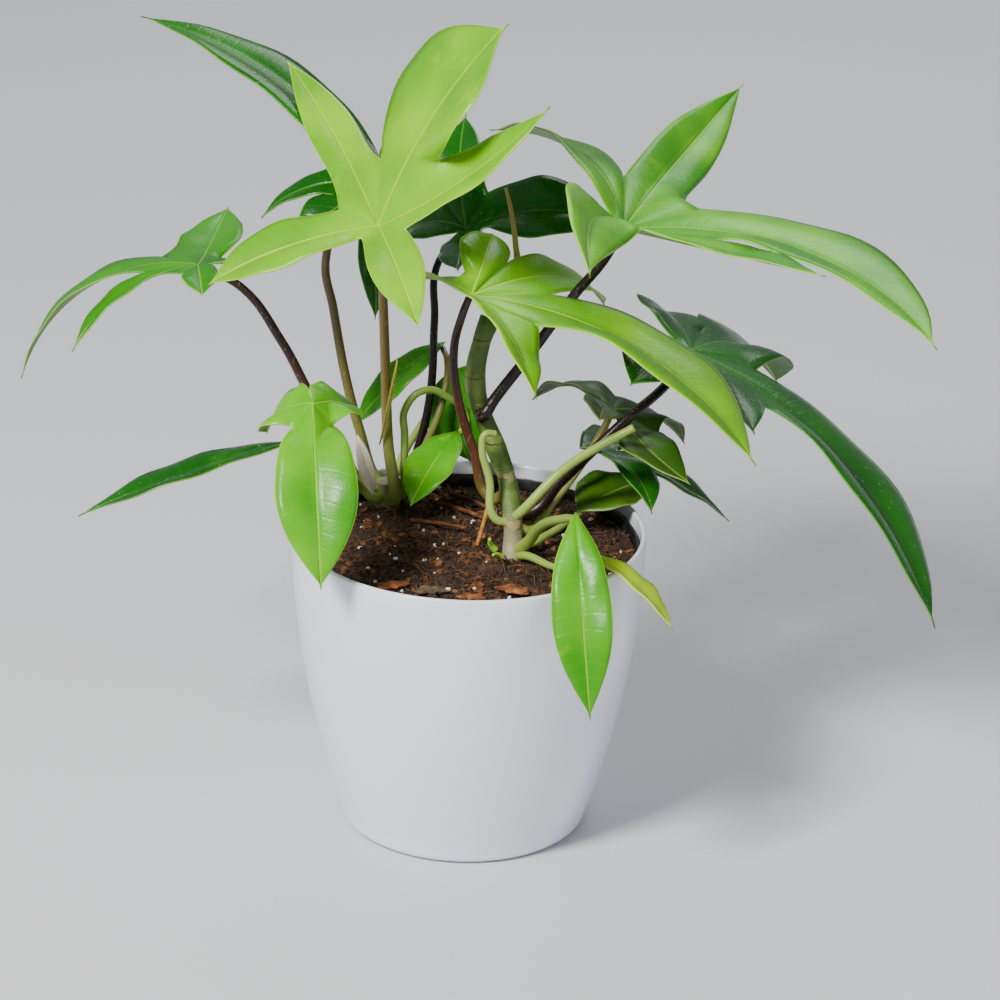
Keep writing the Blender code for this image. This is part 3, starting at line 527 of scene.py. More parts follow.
def stem_material(name):
    """Stem bark: green skin gone grey-tan in bands, with rough leaf scars."""
    made, tree, shader = new_material(name)
    place = add(tree, "ShaderNodeTexCoord").outputs["Object"]
    height = add(tree, "ShaderNodeSeparateXYZ", {0: place}).outputs[2]
    rough = speckle(tree, 420, detail=5).outputs[0]
    uneven = math_node(tree, "ADD", height, math_node(tree, "MULTIPLY", rough, 0.002))
    band = math_node(tree, "MODULO", uneven, 0.0125)
    off = math_node(tree, "ABSOLUTE", math_node(tree, "SUBTRACT", band, 0.006))
    ring = ramp(tree, off, 0.0006, 0.0016, 1, 0)
    cloud = ramp(tree, speckle(tree, 70).outputs[0], 0.35, 0.65)
    colour = mixed(tree, cloud, linear("#3E5A1C"), linear("#667A34"))
    colour = mixed(tree, ramp(tree, height, 0.125, 0.108, 0, 0.75), colour, linear("#A89C82"))
    fading = ramp(tree, height, 0.124, 0.14, 0.7, 0.12)
    colour = mixed(tree, math_node(tree, "MULTIPLY", ring, fading), colour, linear("#A08A5C"))
    tree.links.new(colour, shader.inputs["Base Color"])
    shader.inputs["Roughness"].default_value = 0.5
    bump(tree, shader, math_node(tree, "ADD", rough, ring), 0.5 * MM)
    return made


def planter_material():
    """Glossy moulded plastic in a cool white: smooth, with soft reflections and barely any texture."""
    made, tree, shader = new_material("gloss_moulded_plastic_cool_white")
    cloud = speckle(tree, 12, detail=2).outputs[0]
    tree.links.new(mixed(tree, cloud, linear("#ECF1FD"), linear("#F3F6FE")), shader.inputs["Base Color"])
    fine = speckle(tree, 600, detail=2).outputs[0]
    tree.links.new(ramp(tree, fine, 0.3, 0.7, 0.16, 0.22), shader.inputs["Roughness"])
    shader.inputs["IOR"].default_value = 1.5
    shader.inputs["Coat Weight"].default_value = 0.6
    bump(tree, shader, cloud, 0.3 * MM, 0.5)
    return made


def nursery_material():
    """Thin black polypropylene, thermoformed: satin, with dust and faint scuffs from handling."""
    made, tree, shader = new_material("thermoformed_polypropylene_black")
    dust = speckle(tree, 160, detail=5).outputs[0]
    colour = mixed(tree, ramp(tree, dust, 0.5, 0.75, 0, 0.6), linear("#0E0F12"), linear("#3A3630"))
    tree.links.new(colour, shader.inputs["Base Color"])
    tree.links.new(ramp(tree, dust, 0.3, 0.7, 0.32, 0.6), shader.inputs["Roughness"])
    bump(tree, shader, dust, 0.15 * MM)
    return made


def earth_material(name, dark, pale, warm, scale=260, depth=1.0):
    """Peat, coir or bark: matt and crumbly, in browns that change from crumb to crumb."""
    made, tree, shader = new_material(name)
    clump = speckle(tree, scale, detail=6, roughness=0.7).outputs[0]
    colour = mixed(tree, ramp(tree, clump, 0.38, 0.66), linear(dark), linear(pale))
    drift = speckle(tree, scale * 0.35, detail=3).outputs[0]
    colour = mixed(tree, ramp(tree, drift, 0.56, 0.7, 0, 0.7), colour, linear(warm))
    tree.links.new(colour, shader.inputs["Base Color"])
    shader.inputs["Roughness"].default_value = 0.88
    bump(tree, shader, clump, depth * MM)
    return made


def perlite_material():
    """Expanded volcanic glass: white, matt and full of tiny pits."""
    made, tree, shader = new_material("expanded_perlite_white")
    pits = speckle(tree, 1600, detail=4).outputs[0]
    tree.links.new(mixed(tree, pits, linear("#D8D2C6"), linear("#FBFAF5")), shader.inputs["Base Color"])
    shader.inputs["Roughness"].default_value = 0.8
    bump(tree, shader, pits, 0.3 * MM)
    return made


def plain_stage_material(name, colour):
    """Matt painted board for the stage."""
    made, _, shader = new_material(name)
    shader.inputs["Base Color"].default_value = linear(colour)
    shader.inputs["Roughness"].default_value = 0.85
    return made


# Meshes


def link(name, data, *finishes):
    """Links a new object at the origin with its finishes."""
    obj = bpy.data.objects.new(name, data)
    for finish in finishes:
        data.materials.append(finish)
    bpy.context.scene.collection.objects.link(obj)
    return obj


def place_piece(obj, slot, *nodes):
    """Rides a piece on the plant, in place of its nodes. The slot is not used."""
    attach(obj, BODY)
    if nodes:
        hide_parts(*nodes)


def lathe(name, profile, finish, sides=POT_SIDES):
    """A round body turned about Z from a profile that starts and ends on the axis. It is smooth
    except at sharp edges."""
    shape = bmesh.new()
    rings = []
    for radius, height in profile:
        if radius < 1e-6:
            rings.append([shape.verts.new((0, 0, height * MM))])
            continue
        ring = []
        for index in range(sides):
            turn = 2 * math.pi * index / sides
            place = Vector((radius * math.cos(turn), radius * math.sin(turn), height))
            ring.append(shape.verts.new(place * MM))
        rings.append(ring)
    for upper, lower in zip(rings, rings[1:]):
        for index in range(sides):
            follow = (index + 1) % sides
            corners = [
                upper[index % len(upper)], upper[follow % len(upper)],
                lower[follow % len(lower)], lower[index % len(lower)]]
            shape.faces.new(list(dict.fromkeys(corners)))
    bmesh.ops.recalc_face_normals(shape, faces=shape.faces)
    mesh = bpy.data.meshes.new(name)
    shape.to_mesh(mesh)
    shape.free()
    mesh.shade_smooth()
    mesh.set_sharp_from_angle(angle=math.radians(50))
    return link(name, mesh, finish)


def planter_radius(height):
    """The planter's outer radius at this height."""
    return RIM_RADIUS - PLANTER_TAPER * (1 - height / PLANTER_HEIGHT) ** TAPER_POWER


def planter_profile(wall):
    """The planter's section: up the inside from the floor, round the lip and down the outside."""
    lip = wall / 2
    steps = 24
    inside = [(0, PLANTER_FLOOR)]
    outside = []
    for step in range(steps + 1):
        height = PLANTER_FLOOR + (PLANTER_HEIGHT - lip - PLANTER_FLOOR) * step / steps
        inside.append((planter_radius(height) - wall, height))
        lower = FOOT_ROUNDING + (PLANTER_HEIGHT - lip - FOOT_ROUNDING) * (1 - step / steps)
        outside.append((planter_radius(lower), lower))
    crest = []
    for angle in range(150, 20, -20):
        turn = math.radians(angle)
        crest.append((RIM_RADIUS - lip + lip * math.cos(turn), PLANTER_HEIGHT - lip + lip * math.sin(turn)))
    foot = []
    centre = planter_radius(FOOT_ROUNDING) - FOOT_ROUNDING
    for angle in range(15, 91, 15):
        turn = math.radians(angle)
        foot.append((centre + FOOT_ROUNDING * math.cos(turn), FOOT_ROUNDING * (1 - math.sin(turn))))
    return inside + crest + outside + foot + [(0, 0)]


def soil_radius():
    """The radius of the soil's top edge."""
    return COLLAR_RADIUS - NURSERY_WALL - SOIL_CLEARANCE


def soil_height(x, y):
    """The height of the soil's lumpy surface at a place."""
    radius = math.hypot(x, y)
    mound = SOIL_TOP - SOIL_MOUND * (radius / soil_radius()) ** 2
    broad = noise.noise(Vector((x * 0.09, y * 0.09, 3.1))) * BROAD_LUMPS
    fine = noise.noise(Vector((x * 0.3, y * 0.3, 8.7))) * FINE_LUMPS
    return mound + broad + fine - SOIL_DROP


def surface_mesh(name, reach):
    """The soil's top alone out to this radius, which the litter lies on."""
    shape = bmesh.new()
    rows = [[shape.verts.new((0, 0, soil_height(0, 0) * MM))]]
    for ring in range(1, SOIL_RINGS + 1):
        radius = reach * ring / SOIL_RINGS
        row = []
        for index in range(SOIL_SIDES):
            turn = 2 * math.pi * index / SOIL_SIDES
            x, y = radius * math.cos(turn), radius * math.sin(turn)
            row.append(shape.verts.new((x * MM, y * MM, soil_height(x, y) * MM)))
        rows.append(row)
    for inner, outer in zip(rows, rows[1:]):
        for index in range(SOIL_SIDES):
            follow = (index + 1) % SOIL_SIDES
            corners = [inner[index % len(inner)], outer[index], outer[follow], inner[follow % len(inner)]]
            shape.faces.new(list(dict.fromkeys(corners)))
    mesh = bpy.data.meshes.new(name)
    shape.to_mesh(mesh)
    shape.free()
    mesh.shade_smooth()
    return mesh


def tube(name, route, radii, finish, around=3, steps=10):
    """A smooth round stalk through the route's points with these radii, as a mesh closed at both ends."""
    curve = bpy.data.curves.new(name, "CURVE")
    curve.dimensions = "3D"
    curve.bevel_depth = MM
    curve.bevel_resolution = around
    curve.resolution_u = steps
    curve.use_fill_caps = True
    spline = curve.splines.new("BEZIER")
    spline.bezier_points.add(len(route) - 1)
    for point, place, radius in zip(spline.bezier_points, route, radii):
        point.co = Vector(place) * MM
        point.handle_left_type = "AUTO"
        point.handle_right_type = "AUTO"
        point.radius = radius
    holder = bpy.data.objects.new(name + "_curve", curve)
    bpy.context.scene.collection.objects.link(holder)
    bpy.context.view_layer.update()
    mesh = bpy.data.meshes.new_from_object(holder.evaluated_get(bpy.context.evaluated_depsgraph_get()))
    bpy.data.objects.remove(holder, do_unlink=True)
    shape = bmesh.new()
    shape.from_mesh(mesh)
    bmesh.ops.remove_doubles(shape, verts=shape.verts, dist=0.00001)
    bmesh.ops.recalc_face_normals(shape, faces=shape.faces)
    shape.to_mesh(mesh)
    shape.free()
    mesh.materials.clear()
    mesh.shade_smooth()
    mesh.set_sharp_from_angle(angle=math.radians(60))
    mesh.name = name
    return link(name, mesh, finish)


# Leaf blades


def midrib_direction(spec, share):
    """The way that a lobe's midrib runs at this share of its length."""
    turn = math.radians(spec.bearing + spec.sweep * share)
    rise = math.radians(spec.lift - spec.droop * share)
    return Vector((math.cos(rise) * math.cos(turn), math.cos(rise) * math.sin(turn), math.sin(rise)))


def midrib_axes(spec, share):
    """The left and up directions of the blade beside the midrib."""
    turn = math.radians(spec.bearing + spec.sweep * share)
    level = Vector((-math.sin(turn), math.cos(turn), 0))
    ahead = midrib_direction(spec, share)
    up = ahead.cross(level)
    bank = math.radians(spec.bank) * min(share / 0.5, 1)
    side = level * math.cos(bank) + up * math.sin(bank)
    return side, ahead.cross(side)


def midrib(spec):
    """Points from the junction to the lobe's tip."""
    points = [Vector((0, 0, 0))]
    for row in range(ROWS):
        points.append(points[-1] + midrib_direction(spec, (row + 0.5) / ROWS) * spec.length / ROWS)
    return points


def along(points, share):
    """The point at this share of a midrib."""
    place = min(max(share, 0), 1) * ROWS
    row = min(int(place), ROWS - 1)
    return points[row].lerp(points[row + 1], place - row)


def half_width(spec, share):
    """How far the blade's edge is from the midrib at this share, ending in a thin drip tip."""
    if share < spec.widest:
        rise = math.sin(math.pi / 2 * share / spec.widest) ** 1.3
        return spec.half_width * (SHOULDER_SHARE + (1 - SHOULDER_SHARE) * rise)
    fall = min((share - spec.widest) / (0.97 - spec.widest), 1)
    tail = TAIL_WIDTH * min((1 - share) / (1 - TAIL_START), 1)
    return max(spec.half_width * (1 - fall ** 1.9) ** 1.1, tail)


def sinus(lobes, midribs, index):
    """The bottom of the bay between a lobe and the next, or of the notch behind the junction."""
    reach = lobes[index].web
    if index == len(lobes) - 1:
        return Vector((-reach, 0, 0))
    here = along(midribs[index], reach / lobes[index].length)
    there = along(midribs[index + 1], reach / lobes[index + 1].length)
    return (here + there).normalized() * reach


def nearest_share(points, place):
    """The share of a midrib that comes nearest to a place."""
    shares = [step / 100 for step in range(71)]
    return min(shares, key=lambda share: (along(points, share) - place).length)


def lobe_edge(spec, points, bay, side, cup):
    """The free edge of one side of a lobe from the bay to the row before the tip, gently waved."""
    start = nearest_share(points, bay)
    rows = ROWS - WEB_ROWS
    lean = math.radians(cup)
    pull = None
    edge = []
    for row in range(rows):
        share = start + (1 - start) * row / rows
        left, up = midrib_axes(spec, share)
        width = half_width(spec, share)
        place = along(points, share) + left * side * width * math.cos(lean) + up * width * math.sin(lean)
        pull = bay - place if pull is None else pull
        fade = 1 - min((share - start) / SINUS_BLEND, 1)
        wave = math.sin(share * 19 + spec.bearing * 0.7 + side) * RIPPLE * min(width / 10, 1) * (1 - fade)
        edge.append(place + pull * fade ** 2 + up * wave)
    return edge


class BladeMesh:
    """Collects a blade's points, faces and each point's distances from midrib and margin and along."""

    def __init__(self, turn, origin):
        self.turn = turn
        self.origin = origin
        self.points = []
        self.places = []
        self.faces = []

    def add(self, place, from_midrib, from_margin, out_along):
        """Stores a point and returns its number."""
        self.points.append((self.turn @ place + self.origin) * MM)
        self.places.extend((from_midrib, from_margin, out_along))
        return len(self.points) - 1

    def half_lobe(self, spec, spine, points, edge, places, reaches, side):
        """The blade between a midrib and one edge; the columns meet at the junction and the tip."""
        columns = [spine]
        for column in range(1, COLUMNS):
            share = column / COLUMNS
            line = [spine[0]]
            for row in range(1, ROWS):
                across = places[row] - points[row]
                width = across.length
                up = midrib_axes(spec, row / ROWS)[1]
                lift = up * BULGE * width * math.sin(math.pi * share)
                margin = width * (1 - share) + reaches[row]
                place = points[row] + across * share + lift
                line.append(self.add(place, width * share, margin, row / ROWS * spec.length))
            line.append(spine[-1])
            columns.append(line)
        columns.append(edge)
        for inner, outer in zip(columns, columns[1:]):
            for row in range(ROWS):
                face = list(dict.fromkeys([inner[row], inner[row + 1], outer[row + 1], outer[row]]))
                if len(face) > 2:
                    self.faces.append(face if side > 0 else face[::-1])


def blade_mesh(spec):
    """A leaf's middle surface, in place."""
    turn = Euler((math.radians(spec.roll), math.radians(-spec.pitch), math.radians(spec.heading))).to_matrix()
    mesh = BladeMesh(turn, Vector(spec.junction))
    junction = mesh.add(Vector((0, 0, 0)), 0, 20, 0)
    lobes = spec.lobes
    midribs = [midrib(item) for item in lobes]
    bays = [sinus(lobes, midribs, index) for index in range(len(lobes))]
    webs = []
    for bay in bays:
        web = []
        for step in range(1, WEB_ROWS + 1):
            share = step / WEB_ROWS
            out, left = bay.length * share, bay.length * (1 - share)
            web.append(mesh.add(bay * share, out, left, out))
        webs.append(web)
    for index, item in enumerate(lobes):
        points = midribs[index]
        spine = [junction]
        for row in range(1, ROWS + 1):
            margin = half_width(item, row / ROWS) if row < ROWS else 0
            spine.append(mesh.add(points[row], 0, max(margin, 0.3), row / ROWS * item.length))
        for side, bay in ((1, index - 1), (-1, index)):
            edge = lobe_edge(item, points, bays[bay], side, spec.cup)
            free = []
            for row, place in enumerate(edge[1:]):
                out = (row + 1 + WEB_ROWS) / ROWS * item.length
                free.append(mesh.add(place, (place - points[row + 1 + WEB_ROWS]).length, 0, out))
            web_places = [bays[bay] * step / WEB_ROWS for step in range(WEB_ROWS + 1)]
            places = web_places + edge[1:] + [points[-1]]
            reaches = [bays[bay].length * (1 - step / WEB_ROWS) for step in range(WEB_ROWS + 1)] + [0] * ROWS
            border = [junction] + webs[bay] + free + [spine[-1]]
            mesh.half_lobe(item, spine, points, border, places, reaches, side)
    data = bpy.data.meshes.new(spec.name)
    data.from_pydata(mesh.points, [], mesh.faces)
    data.attributes.new("blade_place", "FLOAT_VECTOR", "POINT").data.foreach_set("vector", mesh.places)
    data.shade_smooth()
    return data


def petiole_end(spec):
    """The petiole's last point, at the blade's lower side under the junction."""
    turn = Euler((math.radians(spec.roll), math.radians(-spec.pitch), math.radians(spec.heading))).to_matrix()
    return tuple(Vector(spec.junction) + turn @ Vector((-0.5, 0, -1.2)))


def stem_point_near(place):
    """The point on either stem's axis that is nearest to a petiole's foot."""
    near = []
    for route in (MAIN_STEM_ROUTE, LEFT_STEM_ROUTE):
        for first, second in zip(route, route[1:]):
            for step in range(9):
                near.append(Vector(first).lerp(Vector(second), step / 8))
    return min(near, key=lambda point: (point - Vector(place)).length)


# Litter on the soil, scattered by Geometry Nodes


def litter_tree(name):
    """A node tree with a mesh in and out and inputs for its number, seed, sizes and finish."""
    tree = bpy.data.node_groups.new(name, "GeometryNodeTree")
    for label, direction, kind in (
        ("Surface", "INPUT", "NodeSocketGeometry"), ("Density", "INPUT", "NodeSocketFloat"),
        ("Seed", "INPUT", "NodeSocketInt"), ("Smallest", "INPUT", "NodeSocketFloat"),
        ("Largest", "INPUT", "NodeSocketFloat"), ("Finish", "INPUT", "NodeSocketMaterial"),
        ("Litter", "OUTPUT", "NodeSocketGeometry"),
    ):
        tree.interface.new_socket(label, in_out=direction, socket_type=kind)
    start = add(tree, "NodeGroupInput")
    points = add(tree, "GeometryNodeDistributePointsOnFaces", {
        "Mesh": start.outputs["Surface"], "Density": start.outputs["Density"], "Seed": start.outputs["Seed"]})
    return tree, start, points


def random_value(tree, kind, low, high, seed):
    """A random value for each point."""
    made = add(tree, "FunctionNodeRandomValue", data_type=kind)
    numbers = {"FLOAT_VECTOR": (0, 1), "FLOAT": (2, 3)}[kind]
    for number, value in zip(numbers, (low, high)):
        if isinstance(value, bpy.types.NodeSocket):
            tree.links.new(value, made.inputs[number])
        else:
            made.inputs[number].default_value = value
    tree.links.new(seed, made.inputs["Seed"])
    return made.outputs[{"FLOAT_VECTOR": 0, "FLOAT": 1}[kind]]


def finish_litter(tree, geometry, finish):
    """The tree's last nodes: the finish and the output."""
    painted = add(tree, "GeometryNodeSetMaterial", {"Geometry": geometry, "Material": finish})
    end = add(tree, "NodeGroupOutput")
    tree.links.new(painted.outputs[0], end.inputs[0])


def crumb_tree(name, flatness):
    """Irregular crumbs: small spheres squashed, turned at random and dented by noise."""
    tree, start, points = litter_tree(name)
    seed = start.outputs["Seed"]
    ball = add(tree, "GeometryNodeMeshIcoSphere", {"Radius": 0.5, "Subdivisions": 1})
    size = random_value(tree, "FLOAT", start.outputs["Smallest"], start.outputs["Largest"], seed)
    shape = random_value(tree, "FLOAT_VECTOR", (0.6, 0.6, flatness), (1.4, 1.0, flatness * 1.8), seed)
    scale = add(tree, "ShaderNodeVectorMath", {0: shape, "Scale": size}, operation="SCALE").outputs[0]
    turn = random_value(tree, "FLOAT_VECTOR", (-0.6, -0.6, 0.0), (0.6, 0.6, 6.28), seed)
    laid = add(tree, "GeometryNodeInstanceOnPoints", {
        "Points": points.outputs["Points"], "Instance": ball.outputs[0], "Rotation": turn, "Scale": scale})
    real = add(tree, "GeometryNodeRealizeInstances", {0: laid.outputs[0]})
    where = add(tree, "GeometryNodeInputPosition")
    dents = add(tree, "ShaderNodeTexNoise", {"Vector": where.outputs[0], "Scale": 900.0, "Detail": 2.0})
    middle = add(
        tree, "ShaderNodeVectorMath", {0: dents.outputs["Color"], 1: (0.5, 0.5, 0.5)}, operation="SUBTRACT")
    shift = add(tree, "ShaderNodeVectorMath", {0: middle.outputs[0], "Scale": 1.6 * MM}, operation="SCALE")
    dented = add(tree, "GeometryNodeSetPosition", {"Geometry": real.outputs[0], "Offset": shift.outputs[0]})
    finish_litter(tree, dented.outputs[0], start.outputs["Finish"])
    return tree


def fibre_tree(name):
    """Thin bent fibres lying on the surface."""
    tree, start, points = litter_tree(name)
    seed = start.outputs["Seed"]
    line = add(tree, "GeometryNodeCurvePrimitiveLine", {"Start": (-0.5, 0, 0), "End": (0.5, 0, 0)})
    fine = add(tree, "GeometryNodeResampleCurve", {"Curve": line.outputs[0], "Count": 7})
    size = random_value(tree, "FLOAT", start.outputs["Smallest"], start.outputs["Largest"], seed)
    turn = random_value(tree, "FLOAT_VECTOR", (-0.2, -0.3, 0.0), (0.2, 0.3, 6.28), seed)
    laid = add(tree, "GeometryNodeInstanceOnPoints", {
        "Points": points.outputs["Points"], "Instance": fine.outputs[0], "Rotation": turn, "Scale": size})
    real = add(tree, "GeometryNodeRealizeInstances", {0: laid.outputs[0]})
    where = add(tree, "GeometryNodeInputPosition")
    bends = add(tree, "ShaderNodeTexNoise", {"Vector": where.outputs[0], "Scale": 160.0, "Detail": 1.0})
    middle = add(
        tree, "ShaderNodeVectorMath", {0: bends.outputs["Color"], 1: (0.5, 0.5, 0.42)}, operation="SUBTRACT")
    shift = add(tree, "ShaderNodeVectorMath", {0: middle.outputs[0], "Scale": 9 * MM}, operation="SCALE")
    bent = add(tree, "GeometryNodeSetPosition", {"Geometry": real.outputs[0], "Offset": shift.outputs[0]})
    ring = add(tree, "GeometryNodeCurvePrimitiveCircle", {"Radius": 0.16 * MM, "Resolution": 4}, mode="RADIUS")
    solid = add(tree, "GeometryNodeCurveToMesh", {
        "Curve": bent.outputs[0], "Profile Curve": ring.outputs[0], "Fill Caps": True})
    finish_litter(tree, solid.outputs[0], start.outputs["Finish"])
    return tree


def scatter(name, tree, surface, density, seed, smallest, largest, finish, slot):
    """Runs a litter tree over the soil's top and keeps the result as a plain mesh."""
    holder = link(name + "_holder", surface.copy())
    modifier = holder.modifiers.new("litter", "NODES")
    modifier.node_group = tree
    values = {
        "Density": float(density), "Seed": seed, "Smallest": smallest, "Largest": largest, "Finish": finish}
    for item in tree.interface.items_tree:
        if item.in_out == "INPUT" and item.name in values:
            modifier[item.identifier] = values[item.name]
    bpy.context.view_layer.update()
    mesh = bpy.data.meshes.new_from_object(holder.evaluated_get(bpy.context.evaluated_depsgraph_get()))
    bpy.data.objects.remove(holder, do_unlink=True)
    mesh.name = name
    if not mesh.polygons:
        raise RuntimeError(f"{name} came out empty")
    obj = bpy.data.objects.new(name, mesh)
    bpy.context.scene.collection.objects.link(obj)
    place_piece(obj, slot)
    return obj


# Operators


class PLANT_OT_planter(bpy.types.Operator):
    """Builds the planter with its rounded lip and foot"""

    bl_idname = "plant.planter"
    bl_label = "Planter"

    def execute(self, context):
        wall = context.scene.plant_sizes.wall / MM
        obj = lathe("planter_shell", planter_profile(wall), planter_material(), sides=160)
        place_piece(obj, "planter", "planter")
        return {"FINISHED"}


class PLANT_OT_nursery_pot(bpy.types.Operator):
    """Builds the black nursery pot inside the planter, with its drainage holes"""

    bl_idname = "plant.nursery_pot"
    bl_label = "Nursery Pot"

    def execute(self, context):
        floor = NURSERY_BOTTOM + NURSERY_FLOOR
        shoulder = COLLAR_TOP - SHOULDER_DROP
        share = NURSERY_FLOOR / (shoulder - NURSERY_BOTTOM)
        foot = NURSERY_RADIUS + (NURSERY_SHOULDER_RADIUS - NURSERY_RADIUS) * share - NURSERY_WALL
        inner = COLLAR_RADIUS - NURSERY_WALL
        profile = [
            (0, floor), (foot, floor),
            (NURSERY_SHOULDER_RADIUS - NURSERY_WALL, shoulder), (inner, shoulder + 1),
            (inner, COLLAR_TOP - 0.4), (inner + 0.3, COLLAR_TOP), (COLLAR_RADIUS - 0.3, COLLAR_TOP),
            (COLLAR_RADIUS, COLLAR_TOP - 0.4), (COLLAR_RADIUS, shoulder),
            (NURSERY_SHOULDER_RADIUS, shoulder - 1), (NURSERY_RADIUS, NURSERY_BOTTOM), (0, NURSERY_BOTTOM)]
        obj = lathe("nursery_shell", profile, nursery_material())
        for index in range(DRAINS):
            turn = math.radians(360 / DRAINS * index + DRAIN_TURN)
            place = Vector((DRAIN_CIRCLE * math.cos(turn), DRAIN_CIRCLE * math.sin(turn), floor))
            bpy.ops.mesh.primitive_cylinder_add(
                vertices=24, radius=DRAIN_RADIUS * MM, depth=DRAIN_DEPTH * MM, location=place * MM)
            drill = context.object
            cut = obj.modifiers.new("drain", "BOOLEAN")
            cut.object = drill
            context.view_layer.objects.active = obj
            bpy.ops.object.modifier_apply(modifier="drain")
            bpy.data.objects.remove(drill, do_unlink=True)
        place_piece(obj, "nursery_pot", "nursery_pot")
        return {"FINISHED"}


class PLANT_OT_soil(bpy.types.Operator):
    """Builds the soil's lumpy plug and scatters crumbs, perlite and fibres over it"""

    bl_idname = "plant.soil"
    bl_label = "Soil"

    def execute(self, context):
        sizes = context.scene.plant_sizes
        surface = surface_mesh("soil_surface", soil_radius())
        inner = surface_mesh("strand_surface", soil_radius() - STRAND_MARGIN)
        shape = bmesh.new()
        shape.from_mesh(surface)
        rim = [edge for edge in shape.edges if edge.is_boundary]
        ring = bmesh.ops.extrude_edge_only(shape, edges=rim)["geom"]
        lower = [item for item in ring if isinstance(item, bmesh.types.BMVert)]
        foot = NURSERY_RADIUS - NURSERY_WALL - SOIL_CLEARANCE
        for vert in lower:
            flat = Vector((vert.co.x, vert.co.y)).normalized() * foot * MM
            vert.co = Vector((flat.x, flat.y, SOIL_BOTTOM * MM))
        bmesh.ops.contextual_create(shape, geom=[e for e in shape.edges if e.is_boundary])
        bmesh.ops.recalc_face_normals(shape, faces=shape.faces)
        plug = bpy.data.meshes.new("soil_plug")
        shape.to_mesh(plug)
        shape.free()
        plug.shade_smooth()
        plug.set_sharp_from_angle(angle=math.radians(60))
        peat = earth_material("damp_peat_mix", "#1C110B", "#4A3120", "#5E3D24", depth=1.6)
        obj = link("soil_plug", plug, peat)
        place_piece(obj, "soil", "soil")
        crumb = earth_material("peat_crumbs", "#20130C", "#4F3523", "#6B4428", scale=420)
        bark = earth_material("composted_bark", "#5A3118", "#8F5A30", "#B4753C", scale=300)
        coir = earth_material("coir_fibre", "#4A2E18", "#7A5230", "#A87A46", scale=120)
        crumbs = crumb_tree("soil crumbs", 0.6)
        flakes = crumb_tree("bark flakes", 0.28)
        strands = fibre_tree("coir strands")
        scatter("peat_crumbs", crumbs, surface, sizes.crumbs, 3, 0.9 * MM, 2.6 * MM, crumb, "soil")
        scatter("bark_flakes", flakes, surface, sizes.crumbs * 0.09, 11, 2.0 * MM, 5.0 * MM, bark, "bark")
        grain = perlite_material()
        scatter("perlite_grains", crumbs, surface, sizes.grains, 29, 1.2 * MM, 2.8 * MM, grain, "soil")
        scatter("coir_strands", strands, inner, sizes.fibres, 17, 5 * MM, 16 * MM, coir, "root")
        return {"FINISHED"}


class PLANT_OT_bark(bpy.types.Operator):
    """Builds the larger bark chips from layered, broken slabs"""

    bl_idname = "plant.bark"
    bl_label = "Bark Chips"

    def execute(self, context):
        rust = earth_material("pine_bark_rust", "#6A351A", "#A5622F", "#C98A4A", scale=240)
        grey = earth_material("pine_bark_grey", "#4A3A2A", "#7C6A4E", "#9A8760", scale=240)
        for index, finish in enumerate((rust, grey, rust, rust)):
            node = f"bark_chip_{index + 1}"
            low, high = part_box(node)
            centre = (Vector(low) + Vector(high)) / 2
            shape = bmesh.new()
            bmesh.ops.create_icosphere(shape, subdivisions=4, radius=1)
            for vert in shape.verts:
                flat = max(abs(vert.co.x), abs(vert.co.y))
                turn = math.atan2(vert.co.y, vert.co.x)
                reach = 1 + 0.28 * math.sin(2 * turn + index) + 0.16 * math.sin(5 * turn + 2 * index)
                dent = noise.noise(vert.co * 2.6 + Vector((index * 7, 0, 0))) * 0.35
                layer = round(vert.co.z * 3) / 3 * 0.6 + vert.co.z * 0.4
                vert.co.x *= reach * (1 + dent * 0.5)
                vert.co.y *= reach * (1 + dent * 0.5)
                vert.co.z = layer * (0.9 - 0.25 * flat) + dent * 0.35
                size = (Vector(high) - Vector(low)) / 2
                vert.co = Vector((vert.co.x * size.x, vert.co.y * size.y, vert.co.z * size.z)) * 0.9 + centre
                vert.co.z -= 0.8 * MM
            mesh = bpy.data.meshes.new(node + "_slab")
            shape.to_mesh(mesh)
            shape.free()
            mesh.shade_smooth()
            mesh.set_sharp_from_angle(angle=math.radians(35))
            obj = link(node + "_slab", mesh, finish)
            place_piece(obj, "bark", node)
        return {"FINISHED"}


class PLANT_OT_stems(bpy.types.Operator):
    """Builds both stems with swollen nodes"""

    bl_idname = "plant.stems"
    bl_label = "Stems"

    def execute(self, context):
        finish = stem_material("philodendron_stem_skin")
        radius = context.scene.plant_sizes.stem / MM
        swell = [radius * (1.12 if index % 2 else 0.96) for index in range(len(MAIN_STEM_ROUTE))]
        main = tube("main_stem_skin", MAIN_STEM_ROUTE, swell, finish, around=6, steps=14)
        place_piece(main, "stem", "main_stem")
        left = tube("left_stem_skin", LEFT_STEM_ROUTE, [4.5, 5.2, 4.2], finish, around=6, steps=14)
        place_piece(left, "stem", "left_stem")
        return {"FINISHED"}


